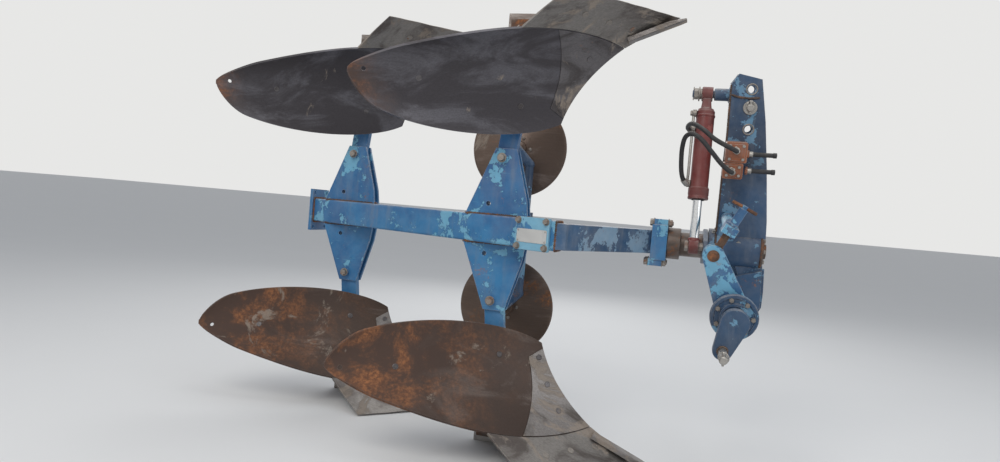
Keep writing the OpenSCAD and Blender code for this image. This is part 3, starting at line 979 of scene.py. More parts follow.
@dataclass(frozen=True)
class WornPaint:
    """Old paint on steel, flaked to a lighter coat, rubbed at the edges, with rust and dust."""

    colour: tuple  # colour of the paint
    deep: tuple  # its darker tone
    flake: tuple  # colour of the lighter coat where it has flaked
    cover: float = 0.25  # how much of it has flaked
    scale: float = 9.0  # flakes per metre, roughly
    rust: float = 0.22  # amount of rust
    dust: float = 0.5  # amount of dust
    wear: float = 0.8  # amount of wear along the edges
    gloss: float = 0.42  # roughness of sound paint

    def build(self, name: str, fx: Effects) -> Material:
        """Builds the material.

        Args:
            name: the material's name.
            fx: the shared shader groups.

        Returns:
            The material.
        """
        net, shader = new_material(name)
        point = net.object_point()
        tone = net.noise(point, 3.2, 6.0, 0.65, 0.5)
        streaks = net.noise(net.stretched(point, (22.0, 22.0, 3.0)), 1.0, 5.0, 0.6)
        base = net.blend(net.step(tone, 0.34, 0.66), self.deep, self.colour)
        base = net.blend(net.times(net.step(streaks, 0.5, 0.75), 0.35), base, (0.20, 0.22, 0.24))
        flake = net.group(fx.flaked_paint, Scale=self.scale, Cover=self.cover, Scratches=0.55)
        pale = net.blend(net.noise(point, 40.0, 4.0), self.flake, tuple(0.72 * c for c in self.flake))
        base = net.blend(net.times(flake["Rim"], 0.6), base, tuple(0.35 * c for c in self.deep))
        base = net.blend(flake["Mask"], base, pale)
        rust = net.group(fx.rust, Scale=11.0, Amount=self.rust)
        wear = net.group(fx.edge_wear, Amount=self.wear, Breakup=46.0, Radius=0.0035)
        base = net.blend(rust["Mask"], base, rust["Colour"])
        base = net.blend(wear["Mask"], base, (0.36, 0.33, 0.31))
        dust = net.group(fx.dust, Amount=self.dust, Scale=16.0)
        base = net.blend(dust["Mask"], base, (0.56, 0.52, 0.47))
        net.feed(shader.inputs["Base Color"], base)
        rough = net.plus(self.gloss, net.times(rust["Mask"], 0.4))
        rough = net.plus(rough, net.times(dust["Mask"], 0.4), True)
        net.feed(shader.inputs["Roughness"], rough)
        net.feed(shader.inputs["Metallic"], net.times(wear["Mask"], 0.6))
        height = net.plus(net.times(flake["Height"], 0.7),
                          net.times(net.times(rust["Height"], rust["Mask"]), 0.9))
        height = net.plus(height, net.times(tone, 0.5))
        bumped(net, shader, height, 0.5, 0.0012)
        return bpy.data.materials[name]


@dataclass(frozen=True)
class SoilWornSteel:
    """Steel that works in the soil: ground bright or dark, rusty towards its tail (on the upper boards this tail
    colour is also painted sunlight), caked with earth.
    """

    bright: tuple  # colour of the ground steel
    dark: tuple  # colour of the weathered steel
    shine: float = 0.3  # how much of the surface is ground bright
    rust: float = 0.5  # amount of rust
    soil: float = 0.3  # amount of caked soil
    tail: tuple | None = None  # row x in metres where the rust colour has fully taken over, and where it starts; on the upper boards this tail colour is painted sunlight as well as rust
    metal: float = 0.7  # how metallic the bare steel is

    def build(self, name: str, fx: Effects) -> Material:
        """Builds the material.

        Args:
            name: the material's name.
            fx: the shared shader groups.

        Returns:
            The material.
        """
        net, shader = new_material(name)
        point = net.object_point()
        grain = net.group(fx.grain, Scale=260.0, Streaks=0.7)
        sweepy = net.noise(net.stretched(point, (2.4, 5.0, 7.0)), 1.0, 7.0, 0.66, 0.9)
        ground = net.step(sweepy, 0.62 - 0.5 * self.shine, 0.8 - 0.5 * self.shine)
        base = net.blend(ground, self.dark, self.bright)
        base = net.blend(net.step(grain["Value"], 0.3, 0.75, 0.0, 0.45), base,
                         tuple(0.5 * c for c in self.dark))
        rust = net.group(fx.rust, Scale=7.0, Amount=self.rust)
        rust_and_sunlit_tail_mask = rust["Mask"]
        # Tail ramp: rust colour over the board's tail, which on the upper boards is also painted sunlight on the
        # tail.
        if self.tail:
            along = net.step(net.plus(net.axis(point, "X"), net.times(sweepy, 0.16)),
                             self.tail[0], self.tail[1], 1.0, 0.0)
            rust_and_sunlit_tail_mask = net.times(net.larger(rust_and_sunlit_tail_mask, net.times(along, 0.8)),
                            net.plus(along, 0.45), True)
        base = net.blend(rust_and_sunlit_tail_mask, base, rust["Colour"])
        soil = net.group(fx.soil, Scale=5.5, Amount=self.soil)
        wear = net.group(fx.edge_wear, Amount=0.9, Breakup=30.0, Radius=0.004)
        base = net.blend(net.times(soil["Mask"], 0.75), base, soil["Colour"])
        base = net.blend(net.times(wear["Mask"], 0.7), base, self.bright)
        net.feed(shader.inputs["Base Color"], base)
        dull = net.larger(rust_and_sunlit_tail_mask, soil["Mask"])
        net.feed(shader.inputs["Metallic"], net.times(net.minus(1.0, dull, True), self.metal))
        net.feed(shader.inputs["Roughness"], net.step(net.plus(dull, net.times(sweepy, 0.4)),
                                                      0.0, 1.2, 0.36, 0.9))
        height = net.plus(net.times(soil["Height"], soil["Mask"]),
                          net.times(rust["Height"], 0.35))
        bumped(net, shader, net.plus(height, net.times(grain["Value"], 0.15)), 0.6, 0.002)
        return bpy.data.materials[name]


@dataclass(frozen=True)
class PlainMetal:
    """Small steel parts, chrome and hydraulic pipe, with streaks and light rust."""

    colour: tuple  # colour of the metal
    rough: float = 0.35  # its roughness
    rust: float = 0.2  # amount of rust
    metal: float = 0.9  # how metallic the bare metal is

    def build(self, name: str, fx: Effects) -> Material:
        """Builds the material.

        Args:
            name: the material's name.
            fx: the shared shader groups.

        Returns:
            The material.
        """
        net, shader = new_material(name)
        grain = net.group(fx.grain, Scale=420.0, Streaks=0.35)
        rust = net.group(fx.rust, Scale=26.0, Amount=self.rust)
        dark = tuple(0.72 * c for c in self.colour)
        base = net.blend(net.step(grain["Value"], 0.3, 0.7), dark, self.colour)
        base = net.blend(rust["Mask"], base, rust["Colour"])
        net.feed(shader.inputs["Base Color"], base)
        bare = net.minus(1.0, rust["Mask"], True)
        net.feed(shader.inputs["Metallic"], net.times(bare, self.metal))
        spread = net.times(grain["Value"], 0.22)
        net.feed(shader.inputs["Roughness"], net.plus(net.plus(self.rough, spread),
                                                      net.times(rust["Mask"], 0.45), True))
        bumped(net, shader, net.plus(grain["Height"], rust["Mask"]), 0.3, 0.0004)
        return bpy.data.materials[name]


@dataclass(frozen=True)
class HoseRubber:
    """Black hose cover with fine mould grain, scuffs and dust on top."""

    colour: tuple = (0.018, 0.018, 0.020)  # colour of the rubber

    def build(self, name: str, fx: Effects) -> Material:
        """Builds the material.

        Args:
            name: the material's name.
            fx: the shared shader groups.

        Returns:
            The material.
        """
        net, shader = new_material(name)
        grain = net.group(fx.grain, Scale=900.0, Streaks=0.2)
        dust = net.group(fx.dust, Amount=0.35, Scale=60.0)
        scuff = net.step(net.noise(net.object_point(), 45.0, 6.0, 0.75), 0.56, 0.7)
        base = net.blend(net.times(scuff, 0.5), self.colour, (0.07, 0.068, 0.065))
        net.feed(shader.inputs["Base Color"], net.blend(dust["Mask"], base, (0.30, 0.28, 0.25)))
        net.feed(shader.inputs["Roughness"], net.step(grain["Value"], 0.2, 0.8, 0.5, 0.72))
        bumped(net, shader, grain["Height"], 0.25, 0.0003)
        return bpy.data.materials[name]


# The two upper boards' tail ramps are painted sunlight on their tails as well as rust.
DARK_BOARD = SoilWornSteel((0.135, 0.13, 0.145), (0.062, 0.056, 0.062), shine=0.34, rust=0.16, soil=0.22,
                           metal=0.5, tail=(-1.22, -1.02))
FINISHES: dict[str, WornPaint | SoilWornSteel | PlainMetal | HoseRubber] = {
    "beam blue": WornPaint((0.028, 0.20, 0.42), (0.016, 0.11, 0.28), (0.17, 0.46, 0.66), cover=0.33, rust=0.26),
    "leg blue": WornPaint((0.028, 0.19, 0.40), (0.016, 0.10, 0.26), (0.16, 0.45, 0.65), cover=0.26, rust=0.34),
    "pad blue": WornPaint((0.055, 0.24, 0.46), (0.03, 0.14, 0.32), (0.22, 0.50, 0.68), cover=0.66, scale=13.0),
    "headstock blue": WornPaint((0.030, 0.080, 0.165), (0.016, 0.042, 0.090), (0.12, 0.27, 0.42), cover=0.27,
                                rust=0.30, scale=12.0),
    "hitch blue": WornPaint((0.026, 0.085, 0.18), (0.014, 0.045, 0.10), (0.14, 0.33, 0.50), cover=0.3, rust=0.36),
    "lever blue": WornPaint((0.034, 0.17, 0.36), (0.018, 0.09, 0.22), (0.16, 0.45, 0.66), cover=0.40, rust=0.30,
                            scale=14.0),
    "front blue": WornPaint((0.032, 0.105, 0.22), (0.018, 0.06, 0.13), (0.22, 0.36, 0.50), cover=0.40, rust=0.26,
                            dust=0.95, scale=11.0),
    "maroon": WornPaint((0.18, 0.016, 0.013), (0.095, 0.011, 0.009), (0.27, 0.055, 0.045), cover=0.12, rust=0.2,
                        gloss=0.5),
    "valve orange": WornPaint((0.42, 0.13, 0.045), (0.22, 0.07, 0.03), (0.55, 0.30, 0.16), cover=0.2, rust=0.45),
    "plate white": WornPaint((0.62, 0.62, 0.60), (0.46, 0.46, 0.45), (0.74, 0.74, 0.72), cover=0.2, rust=0.1,
                             wear=0.4),
    "lower board": SoilWornSteel((0.15, 0.12, 0.105), (0.066, 0.046, 0.038), rust=0.26, tail=(-1.05, -0.45)),
    "rear lower board": SoilWornSteel((0.16, 0.125, 0.108), (0.070, 0.049, 0.040), shine=0.26, rust=0.26,
                                      soil=0.36, tail=(-1.85, -1.2)),
    "upper board": DARK_BOARD,
    "rear upper board": replace(DARK_BOARD, tail=(-1.98, -1.80)),
    "share": SoilWornSteel((0.30, 0.28, 0.26), (0.13, 0.11, 0.10), shine=0.56, rust=0.20, soil=0.46),
    "shin": SoilWornSteel((0.27, 0.25, 0.24), (0.11, 0.095, 0.085), shine=0.52, rust=0.20, soil=0.46),
    "dark shin": SoilWornSteel((0.17, 0.16, 0.165), (0.075, 0.066, 0.066), shine=0.42, rust=0.24, soil=0.34,
                               metal=0.6),
    "frog": SoilWornSteel((0.22, 0.18, 0.16), (0.09, 0.068, 0.055), shine=0.12, rust=0.6, soil=0.35, metal=0.3),
    "landside steel": SoilWornSteel((0.42, 0.40, 0.38), (0.13, 0.105, 0.095), shine=0.42, rust=0.34, soil=0.35),
    "disc rust": SoilWornSteel((0.24, 0.18, 0.15), (0.13, 0.088, 0.066), shine=0.20, rust=0.46, soil=0.22,
                               metal=0.35),
    "bar rust": SoilWornSteel((0.24, 0.16, 0.11), (0.13, 0.08, 0.05), shine=0.2, rust=0.75, soil=0.0, metal=0.3),
    "weld": SoilWornSteel((0.17, 0.12, 0.09), (0.08, 0.05, 0.038), shine=0.2, rust=0.6, soil=0.0, metal=0.3),
    "shaft rust": SoilWornSteel((0.27, 0.23, 0.21), (0.10, 0.075, 0.062), rust=0.52, soil=0.1, metal=0.5),
    "steel": PlainMetal((0.46, 0.44, 0.41), rough=0.34, rust=0.26),
    "bolt": PlainMetal((0.33, 0.30, 0.27), rough=0.42, rust=0.46, metal=0.7),
    "chrome": PlainMetal((0.78, 0.79, 0.80), rough=0.08, rust=0.05, metal=1.0),
    "rubber": HoseRubber(),
}


# --- Beam and legs ---


def rounded_section(width: float, height: float, radius: float, steps: int = 6) -> Array:
    """Rectangle with round corners: each corner's centre plus r (cos w, sin w) over a quarter turn.

    Args:
        width: size along x.
        height: size along y.
        radius: radius of its corners.
        steps: points on each corner.

    Returns:
        (4 steps, 2) points of the closed profile.
    """
    w = np.linspace(0, np.pi / 2, steps)
    corner = np.stack([np.cos(w), np.sin(w)], -1) * radius
    centre = np.array([width / 2 - radius, height / 2 - radius])
    quarter = np.array([[0, -1], [1, 0]])
    turn = np.eye(2)
    parts = []
    for signs in ((1, 1), (-1, 1), (-1, -1), (1, -1)):
        parts.append(corner @ turn.T + centre * signs)
        turn = quarter @ turn
    return np.concatenate(parts)


@dataclass
class Beam:
    """The slanting main beam, the cranked front section, the swivel shaft and their plates."""

    shop: Workshop
    rear_x: float = -955.0  # where the main beam ends
    joint_x: float = 247.0  # where it meets the front section
    side: float = 100.0
    corner_r: float = 9.0
    shaft_r: float = 45.0
    shaft_ends: tuple = (595.3, 947.0)  # x of the shaft's rear and front ends
    collar_r: float = 59.0
    collars: tuple = (643.0, 929.0)  # x between its two collars
    cap_r: float = 28.0
    cap_h: float = 11.0
    cap_bolt_r: float = 44.0  # circle of the cap's bolts
    pad_x: float = 195.0  # middle of the side pad
    pad_face: float = 62.2  # from the beam's centre line to the pad's face
    # Places of the pad's bolts along it, and their height above and below its middle.
    pad_bolts: tuple = ((-68.0, 48.0), 44.0)
    plate_at: tuple = (-9.0, -7.0)  # middle of the blank plate on the pad
    plate_size: tuple = (125.0, 46.0, 1.6)  # its length, height and thickness
    rivet_at: tuple = (56.0, 17.0)  # its rivets' distances from its middle
    clamp_x: float = 537.3  # rear face of the clamp flange
    clamp_t: float = 50.0  # thickness of its lugs
    clamp_bolt: tuple = (36.0, 74.0)  # its through bolts' distances from the shaft in y and z

    def beam_skin(self) -> Skin:
        """Rounded section whose cuts lie across X: p = (x, beam_y(x) + s / cos a, z).

        Returns:
            The beam's skin in turnover millimetres.
        """
        x = np.linspace(self.rear_x, self.joint_x, 60)
        section = rounded_section(self.side, self.side, self.corner_r)
        y = beam_y(x)[:, None] + section[None, :, 0] / math.cos(BEAM_ANGLE)
        pts = np.stack([np.broadcast_to(x[:, None], y.shape), y,
                        np.broadcast_to(section[None, :, 1], y.shape)], -1)
        return Skin(pts.reshape(-1, 3), tube_faces(*y.shape))

    def build(self) -> None:
        """Builds the beam, its plates, its shaft and its weld seams."""
        self.shop.piece("main_beam_section", in_turnover(self.beam_skin()), "beam blue", "beam_paint",
                        Body.TURNOVER, ("main_beam",), angle=40)
        for node, finish, slot, bevel in (("front_section", "front blue", "headstock_paint", 3.0),
                                          ("beam_end_plate", "beam blue", "beam_paint", 2.0),
                                          ("side_pad", "pad blue", "beam_paint", 2.0),
                                          ("clamp_flange", "beam blue", "beam_paint", 3.0),
                                          ("crank_web", "headstock blue", "headstock_paint", 2.0)):
            self.shop.dressed(node, finish, slot, Body.TURNOVER, bevel)
        self._shaft()
        self._plate()
        self._welds()
        self._clamp_bolts()

    def _shaft(self) -> None:
        """Round rusty swivel shaft with its collars, and the bolts of its front cap."""
        r, c, b, edge = self.shaft_r, self.collar_r, self.cap_r, 2.0
        (x0, x1), (rear, front) = self.shaft_ends, self.collars
        face = x1 - self.cap_h
        prof = [(0, x0), (c - edge, x0), (c, x0 + edge), (c, rear - edge), (c - edge, rear), (r, rear),
                (r, front), (c - edge, front), (c, front + edge), (c, face - edge), (c - edge, face),
                (b + edge, face), (b, face + edge), (b, x1 - edge), (b - edge, x1), (0, x1)]
        self.shop.piece("swivel_shaft_turned", in_turnover(turned(prof, CENTRE, X_AXIS, 72)), "shaft rust",
                        "headstock_paint", Body.TURNOVER, ("swivel_shaft",))
        places = around((face - 0.3, 0, 0), self.cap_bolt_r, 0, even_turn(6))
        bolts = [hex_bolt(p, X_AXIS, 13, False) for p in places]
        self.shop.bolts("shaft_cap_bolts", in_turnover(*bolts), Body.TURNOVER)

    def _plate(self) -> None:
        """Blank plate on the side pad, its four rivets and the pad's four bolts."""
        cos, sin = math.cos(BEAM_ANGLE), math.sin(BEAM_ANGLE)
        along, out = np.array([cos, -sin, 0.0]), np.array([-sin, -cos, 0.0])
        face = np.array([self.pad_x, beam_y(self.pad_x), 0.0]) + out * self.pad_face

        def on_pad(x: float, z: float) -> tuple:
            """Point on the pad's face: face + x along + z up."""
            return tuple(face + along * x + np.array([0, 0, z]))

        (x, z), (length, height, thick), (dx, dz) = self.plate_at, self.plate_size, self.rivet_at
        plate = slab(rounded_section(length, height, 5), on_pad(x, z), along, Z_AXIS, out * thick)
        rivets = [turned([(0, 1.4), (3.4, 1.4), (2.6, 3.2), (0, 3.8)], on_pad(x + sx * dx, z + sz * dz), out, 16)
                  for sx in (-1, 1) for sz in (-1, 1)]
        stations, up = self.pad_bolts
        heads = [hex_bolt(on_pad(s, h), out, 17) for s in stations for h in (-up, up)]
        self.shop.piece("blank_plate", in_turnover(plate), "plate white", "beam_paint", Body.TURNOVER, bevel=0.5)
        self.shop.piece("blank_plate_rivets", in_turnover(*rivets), "steel", "worn_steel", Body.TURNOVER)
        self.shop.bolts("side_pad_bolts", in_turnover(*heads), Body.TURNOVER)

    @staticmethod
    def _seam(x: float, near: float, far: float, half: float) -> Skin:
        """Weld seam round the beam at x, at distances near, far and half from its centre line."""
        y0, y1 = beam_y(x) - near, beam_y(x) + far
        return weld([(x, y0, -half), (x, y0, half), (x, y1, half), (x, y1, -half), (x, y0, -half)], 5.0)

    def _welds(self) -> None:
        """Weld seams where the two sections meet and at the end plate."""
        seams = (self._seam(self.joint_x + 0.5, 56, 50, self.side / 2 - 3), self._seam(self.rear_x, 57, 57, 52))
        self.shop.welds("beam_welds", in_turnover(*seams), Body.TURNOVER)

    def _clamp_bolts(self) -> None:
        """Through bolts of the clamp flange above and below the shaft, and three bolts on its top."""
        bolt_y, bolt_z = self.clamp_bolt
        parts = []
        for side in (-1, 1):
            x = self.clamp_x + side * 6
            for y in (-bolt_y, bolt_y):
                parts.append(hex_bolt((x - 0.2, y, side * bolt_z), (-1, 0, 0), 24))
                parts.append(hex_bolt((x + self.clamp_t + 0.2, y, side * bolt_z), X_AXIS, 24, stud=6))
        parts += [hex_bolt((566, y, 66.2), Z_AXIS, 19) for y in (-40, 0, 40)]
        self.shop.bolts("clamp_flange_bolts", in_turnover(*parts), Body.TURNOVER)


# --- Plough bodies ---

TOP_EDGE = [[190, 0, -396], [45, -60, -306], [-300, -280, -298], [-444, -415, -414]]
LOW_EDGE = [[388, 0, -676], [170, -260, -742], [-120, -380, -612], [-436, -418, -530]]
TAIL_U, TAIL_WIDTH, NOSE_PULL = 0.82, 0.16, 1.3


def face_point(u: Array, v: Array) -> Array:
    """Rear face of the mouldboard, a quadratic Bezier from its lower to its upper edge at each u.

    p = (1-v)^2 low(u) + 2 v (1-v) mid(u) + v^2 top(u), where mid is the mean of both edges plus the pull
    (-56 (1-u) - 34 u - 120 u (1-u), 120 u (1-u) + 34 u, -14 (1-u) - 30 u).

    Args:
        u: 0 at the shin to 1 at the tail.
        v: 0 at the lower edge to 1 at the upper one.

    Returns:
        Points in body millimetres.
    """
    u, v = np.asarray(u, float), np.asarray(v, float)
    low, top = bezier(LOW_EDGE, u), bezier(TOP_EDGE, u)
    belly = 120 * u * (1 - u)
    pull = np.stack([-56 * (1 - u) - 34 * u - belly, belly + 34 * u, -14 * (1 - u) - 30 * u], -1)
    mid = (low + top) / 2 + pull
    v = v[..., None]
    return (1 - v) ** 2 * low + 2 * v * (1 - v) * mid + v * v * top


def face_normal(u: Array, v: Array) -> Array:
    """Normal of the rear face, away from the working side: the cross product of its steps in u and v.

    Args:
        u: 0 at the shin to 1 at the tail.
        v: 0 at the lower edge to 1 at the upper one.

    Returns:
        Unit vectors.
    """
    d = 0.004  # half of each step
    a, b = np.clip(u, d, 1 - d), np.clip(v, d, 1 - d)
    along = face_point(a + d, b) - face_point(a - d, b)
    up = face_point(a, b + d) - face_point(a, b - d)
    return unit(np.cross(along, up))


def board_grid(count_u: int, count_v: int) -> tuple[Array, Array]:
    """Grid over the board's outline: u = 1 - (1-s)^1.3, and v drawn in to an ellipse past the tail's start.

    v = 1/2 + (t - 1/2) w(u), where w = max(0.16, sqrt(1 - ((u - 0.82) / 0.18)^2)) past u = 0.82.

    Args:
        count_u: points along the board.
        count_v: points across it.

    Returns:
        The grids of u and v.
    """
    s, t = np.meshgrid(np.linspace(0, 1, count_u), np.linspace(0, 1, count_v), indexing="ij")
    u = 1 - (1 - s) ** NOSE_PULL
    past = np.clip((u - TAIL_U) / (1 - TAIL_U), 0, 1)
    width = np.maximum(TAIL_WIDTH, np.sqrt(1 - past * past))
    return u, 0.5 + (t - 0.5) * width


@dataclass
class PloughBody:
    """One plough body: leg, shank, frog, mouldboard, shin, share, bar point and landside."""

    shop: Workshop
    place: Place
    board_t: float = 10.0
    share_t: float = 12.0
    tip: tuple = (575.0, -7.0, GROUND_Z)  # the share's point on the ground
    wing: tuple = (245.0, -335.0, GROUND_Z)  # its outer end
    joint_u: float = 0.42  # u of the board's lower edge where the share ends
    joint_gap: float = 3.4
    shin_t: float = 3.4  # how far the shin plate stands out of the board
    tail_hole: tuple = (0.93, 0.42, 7.5)  # u and v of the hole in the board's tail, and its radius
    # Each u and v of the board's bolts.
    board_bolts: tuple = ((0.05, 0.80), (0.06, 0.50), (0.075, 0.22), (0.26, 0.74), (0.70, 0.50))
    shin_bolts: float = 0.1  # u below which a bolt passes through the shin
    # Places of the share's bolts along and up it.
    share_bolts: tuple = ((0.16, 0.66), (0.40, 0.62), (0.66, 0.58))
    # Place in x and z of the landside's bolts.
    landside_bolts: tuple = ((20.0, -725.0), (200.0, -725.0), (290.0, -735.0))
    # Where the bar point starts and where it ends.
    bar_ends: tuple = ((404.0, -27.0, -697.0), (592.0, -27.0, -776.0))
    leg_t: float = 30.0
    clevis_t: float = 78.4  # thickness over the clevis that the shear bolt passes through
    shear_z: float = -258.0  # height of the shear bolt
    frog_z: tuple = (-398.0, -500.0)  # heights of the bolts that hold the shank to the frog

    def _in_place(self, skin: Skin) -> Skin:
        """Body millimetres, x from the shear bolt and y from the landside plane, to the row frame."""
        return Skin(at_place(skin.verts + np.array([0, LANDSIDE_Y, 0]), self.place), skin.faces)

    def _add(self, name: str, skin: Skin, finish: str, slot: str, node: str = "", **more: float) -> Object:
        """Adds a piece of this body.

        Args:
            name: the piece's name without the body's place.
            skin: its points in body millimetres, and its faces.
            finish: name of its material.
            slot: the record's material slot.
            node: the CAD node that it stands for, without the body's place.
            **more: its bevel and angle, as piece takes them.

        Returns:
            The piece.
        """
        place = self.place.value
        stands_for = (f"{node}_{place}",) if node else ()
        return self.shop.piece(f"{name}_{place}", self._in_place(skin), finish, slot, Body.TURNOVER,
                               stands_for, **more)

    @staticmethod
    def board_patch(u: Array, v: Array, start: float, end: float) -> Skin:
        """Part of the board between two depths from its rear face: p - n depth, with a shallow dent.

        Args:
            u: grid of places along the board.
            v: grid of places across it.
            start: depth of the patch's rear side.
            end: depth of its working side.

        Returns:
            The patch's skin.
        """
        p, n = face_point(u, v), face_normal(u, v)
        dent = 1.1 * np.sin(7.0 * u + 3.0 * v + 1.0) * np.sin(5.0 * v + 2.0 * u) * (1 - u ** 3)
        return shell(p - n * (start - dent[..., None]), p - n * (end - dent[..., None]))

    def build(self) -> None:
        """Builds the body's pieces."""
        finish = ("rear " if self.place.rear else "") + ("upper board" if self.place.upper else "lower board")
        board = self._add("mouldboard_face", self.board_patch(*board_grid(110, 46), 0, self.board_t), finish,
                          "board_steel", "mouldboard", angle=45)
        self._drill_tail(board)
        self._shin()
        self._share()
        self._bar_point()
        self._board_bolts()
        self._leg()
        for node, paint, slot in (("landside", "landside steel", "soil_steel"), ("frog", "frog", "soil_steel"),
                                  ("shank", "leg blue", "beam_paint"), ("leg", "leg blue", "beam_paint")):
            self.shop.dressed(f"{node}_{self.place.value}", paint, slot, Body.TURNOVER)

    def _drill_tail(self, board: Object) -> None:
        """Cuts the round hole near the board's tail, then eases the board's edges.

        Args:
            board: the mouldboard's object.
        """
        *at, radius = self.tail_hole
        centre, axis = face_point(*at), face_normal(*at)
        drill = skin_object("drill", self._in_place(turned(drum(radius, 60, 0.4, -30), centre, axis, 32)))
        cut = board.modifiers.new("tail hole", "BOOLEAN")
        cut.object, cut.operation, cut.solver = drill, "DIFFERENCE", "EXACT"
        mesh = bpy.data.meshes.new_from_object(board.evaluated_get(bpy.context.evaluated_depsgraph_get()))
        board.modifiers.clear()
        board.data = mesh
        smooth(mesh, 45)
        ease(board, 1.5, 50)
        bpy.data.objects.remove(drill)

    def _shin(self) -> None:
        """Ground shin plate on the working side, along the board's front edge and wider at its foot."""
        s, t = np.meshgrid(np.linspace(0, 1, 40), np.linspace(0, 1, 26), indexing="ij")
        u = 0.002 + s * (0.11 + 0.17 * (1 - t) ** 2)
        v = 0.004 + t * (0.93 - 0.16 * s)
        patch = self.board_patch(u, v, self.board_t - 0.4, self.board_t + self.shin_t)
        self._add("shin", patch, "dark shin" if self.place.upper else "shin", "share_steel", bevel=0.9, angle=45)

    def share_face(self, u: Array, v: Array) -> Array:
        """Share ruled from its edge on the ground to the board's lower edge: b(u) + (a(u) - b(u)) v.

        Args:
            u: 0 at the tip to 1 at the wing.
            v: 0 at the ground to 1 at the board.

        Returns:
            Points of the working face.
        """
        tip, wing = np.asarray(self.tip), np.asarray(self.wing)
        edge = tip + (wing - tip) * u[..., None] + np.array([0, 0, 5.0])
        low = bezier(LOW_EDGE, u * self.joint_u)
        seat = low + unit(edge - low) * self.joint_gap
        return edge + (seat - edge) * v[..., None]

    def _share(self) -> None:
        """Share with a bowed face and a worn edge, thinner towards the ground, and its bolts."""
        count_u, count_v = 60, 16
        u, v = np.meshgrid(np.linspace(0, 1, count_u), np.linspace(0, 1, count_v), indexing="ij")
        face = self.share_face(u, v)
        rise = face[:, -1] - face[:, 0]
        n = unit(np.cross(np.asarray(self.wing) - np.asarray(self.tip), rise))[:, None, :]
        bow = 2.2 * np.sin(np.pi * v)[..., None]
        wear = 3.0 * (1 - v) ** 6 * (0.5 + 0.5 * np.sin(9 * u + 1.7) * np.sin(23 * u))
        face = face + n * bow + rise[:, None, :] * (wear / 200)[..., None]
        back = face - self.share_t * n * (0.20 + 0.55 * v)[..., None]
        back[..., 2] = np.maximum(back[..., 2], GROUND_Z)
        self._add("share_face", shell(face, back), "share", "share_steel", "share", bevel=0.6, angle=45)
        heads = []
        for a, b in self.share_bolts:
            i, j = int(a * (count_u - 1)), int(b * (count_v - 1))
            out = -n[i, 0]
            heads.append(turned([(0, -3), (12, -3), (11.4, 1.0), (9.0, 1.8), (8.2, 1.0), (0, 0.9)],
                                back[i, j] + out * 0.4, out, 28))
            heads.append(hex_bolt(face[i, j] - out * 0.6, -out, 19, stud=6))
        self._add("share_bolts", joined(*heads), "bolt", "worn_steel")

    def _bar_point(self) -> None:
        """Chisel bar under the board's front and out past the share's tip.

        Its top is start + (end - start) s + 13 up. Past s = 0.72 it thins, and past s = 0.9 it narrows.
        """
        start, end = map(np.asarray, self.bar_ends)
        side = np.asarray(Y_AXIS)
        up = unit(np.cross(side, end - start))
        up = up if up[2] > 0 else -up
        s = np.linspace(0, 1, 40)
        thick = np.where(s < 0.72, 15.0, 15.0 - (s - 0.72) / 0.28 * 10.5)
        half = np.where(s < 0.9, 21.0, 21.0 - (s - 0.9) / 0.1 * 3.0)
        top = start + (end - start) * s[:, None] + up * 13.0
        edge, inner, ridge = side * half[:, None], side * (half - 3)[:, None], up * 2.2
        corner = np.stack([top + edge, top + inner + ridge, top - inner + ridge, top - edge], 1)
        low = corner - up * thick[:, None, None]
        low[..., 2] = np.maximum(low[..., 2], GROUND_Z)
        self._add("bar_point", shell(corner, low), "shin", "share_steel", bevel=0.8, angle=40)

    def _board_bolts(self) -> None:
        """Round bolt heads on the board's working side, the nuts behind it, and the landside's bolts."""
        heads, nuts, sides = [], [], []
        for u, v in self.board_bolts:
            p, n = face_point(u, v), face_normal(u, v)
            proud = self.board_t + (self.shin_t if u < self.shin_bolts else 0.0) + 0.8
            heads.append(turned([(0, -2), (10.5, -2), (10, 0.7), (8.4, 1.2), (7.8, 0.5), (0, 0.4)],
                                p - n * proud, -n, 28))
            nuts.append(hex_bolt(p + n * 0.6, n, 19, stud=7))
        for x, z in self.landside_bolts:
            sides.append(turned([(0, -1), (11, -1), (10.6, 1.2), (8, 2.0), (0, 1.6)], (x, 0.3, z), Y_AXIS, 28))
            sides.append(hex_bolt((x, -34.5, z), NEAR, 19, stud=6))
        self._add("board_bolt_heads", joined(*heads), "dark shin", "worn_steel")
        self._add("board_nuts", joined(*nuts), "bolt", "worn_steel")
        self._add("landside_bolts", joined(*sides), "bolt", "worn_steel")

    def _leg(self) -> None:
        """Shear bolt, frog bolts and the weld seams under the beam."""
        middle = LEG_Y - LANDSIDE_Y
        bolts = []
        for side, stud in ((-1, False), (1, True)):
            y = middle + side * self.clevis_t / 2
            bolts.append(hex_bolt((0, y, self.shear_z), (0, side, 0), 24, stud=8 * stud))
            y = middle + side * self.leg_t / 2
            for z in self.frog_z:
                x = 12 + 30 * (-z - 293) / 307  # on a line from x = 12 at z = -293 to x = 42 at z = -600
                bolts.append(hex_bolt((x, y, z), (0, side, 0), 22, stud=6 * stud))
        self._add("leg_bolts", joined(*bolts), "bolt", "worn_steel")
        near, far = middle - 27.0, middle + 27.0
        seams = ([(-121, near, -50.5), (106, near, -50.5)], [(-121, far, -50.5), (-6, far, -50.5)],
                 [(-123, near, -52), (-123, far, -52)], [(110, near - 2, -52), (110, near + 26, -52)])
        beads = [weld(seam, radius) for seam, radius in zip(seams, (5.5, 5.5, 5.0, 5.0))]
        self._add("leg_welds", joined(*beads), "weld", "headstock_paint")


# --- Disc coulters ---


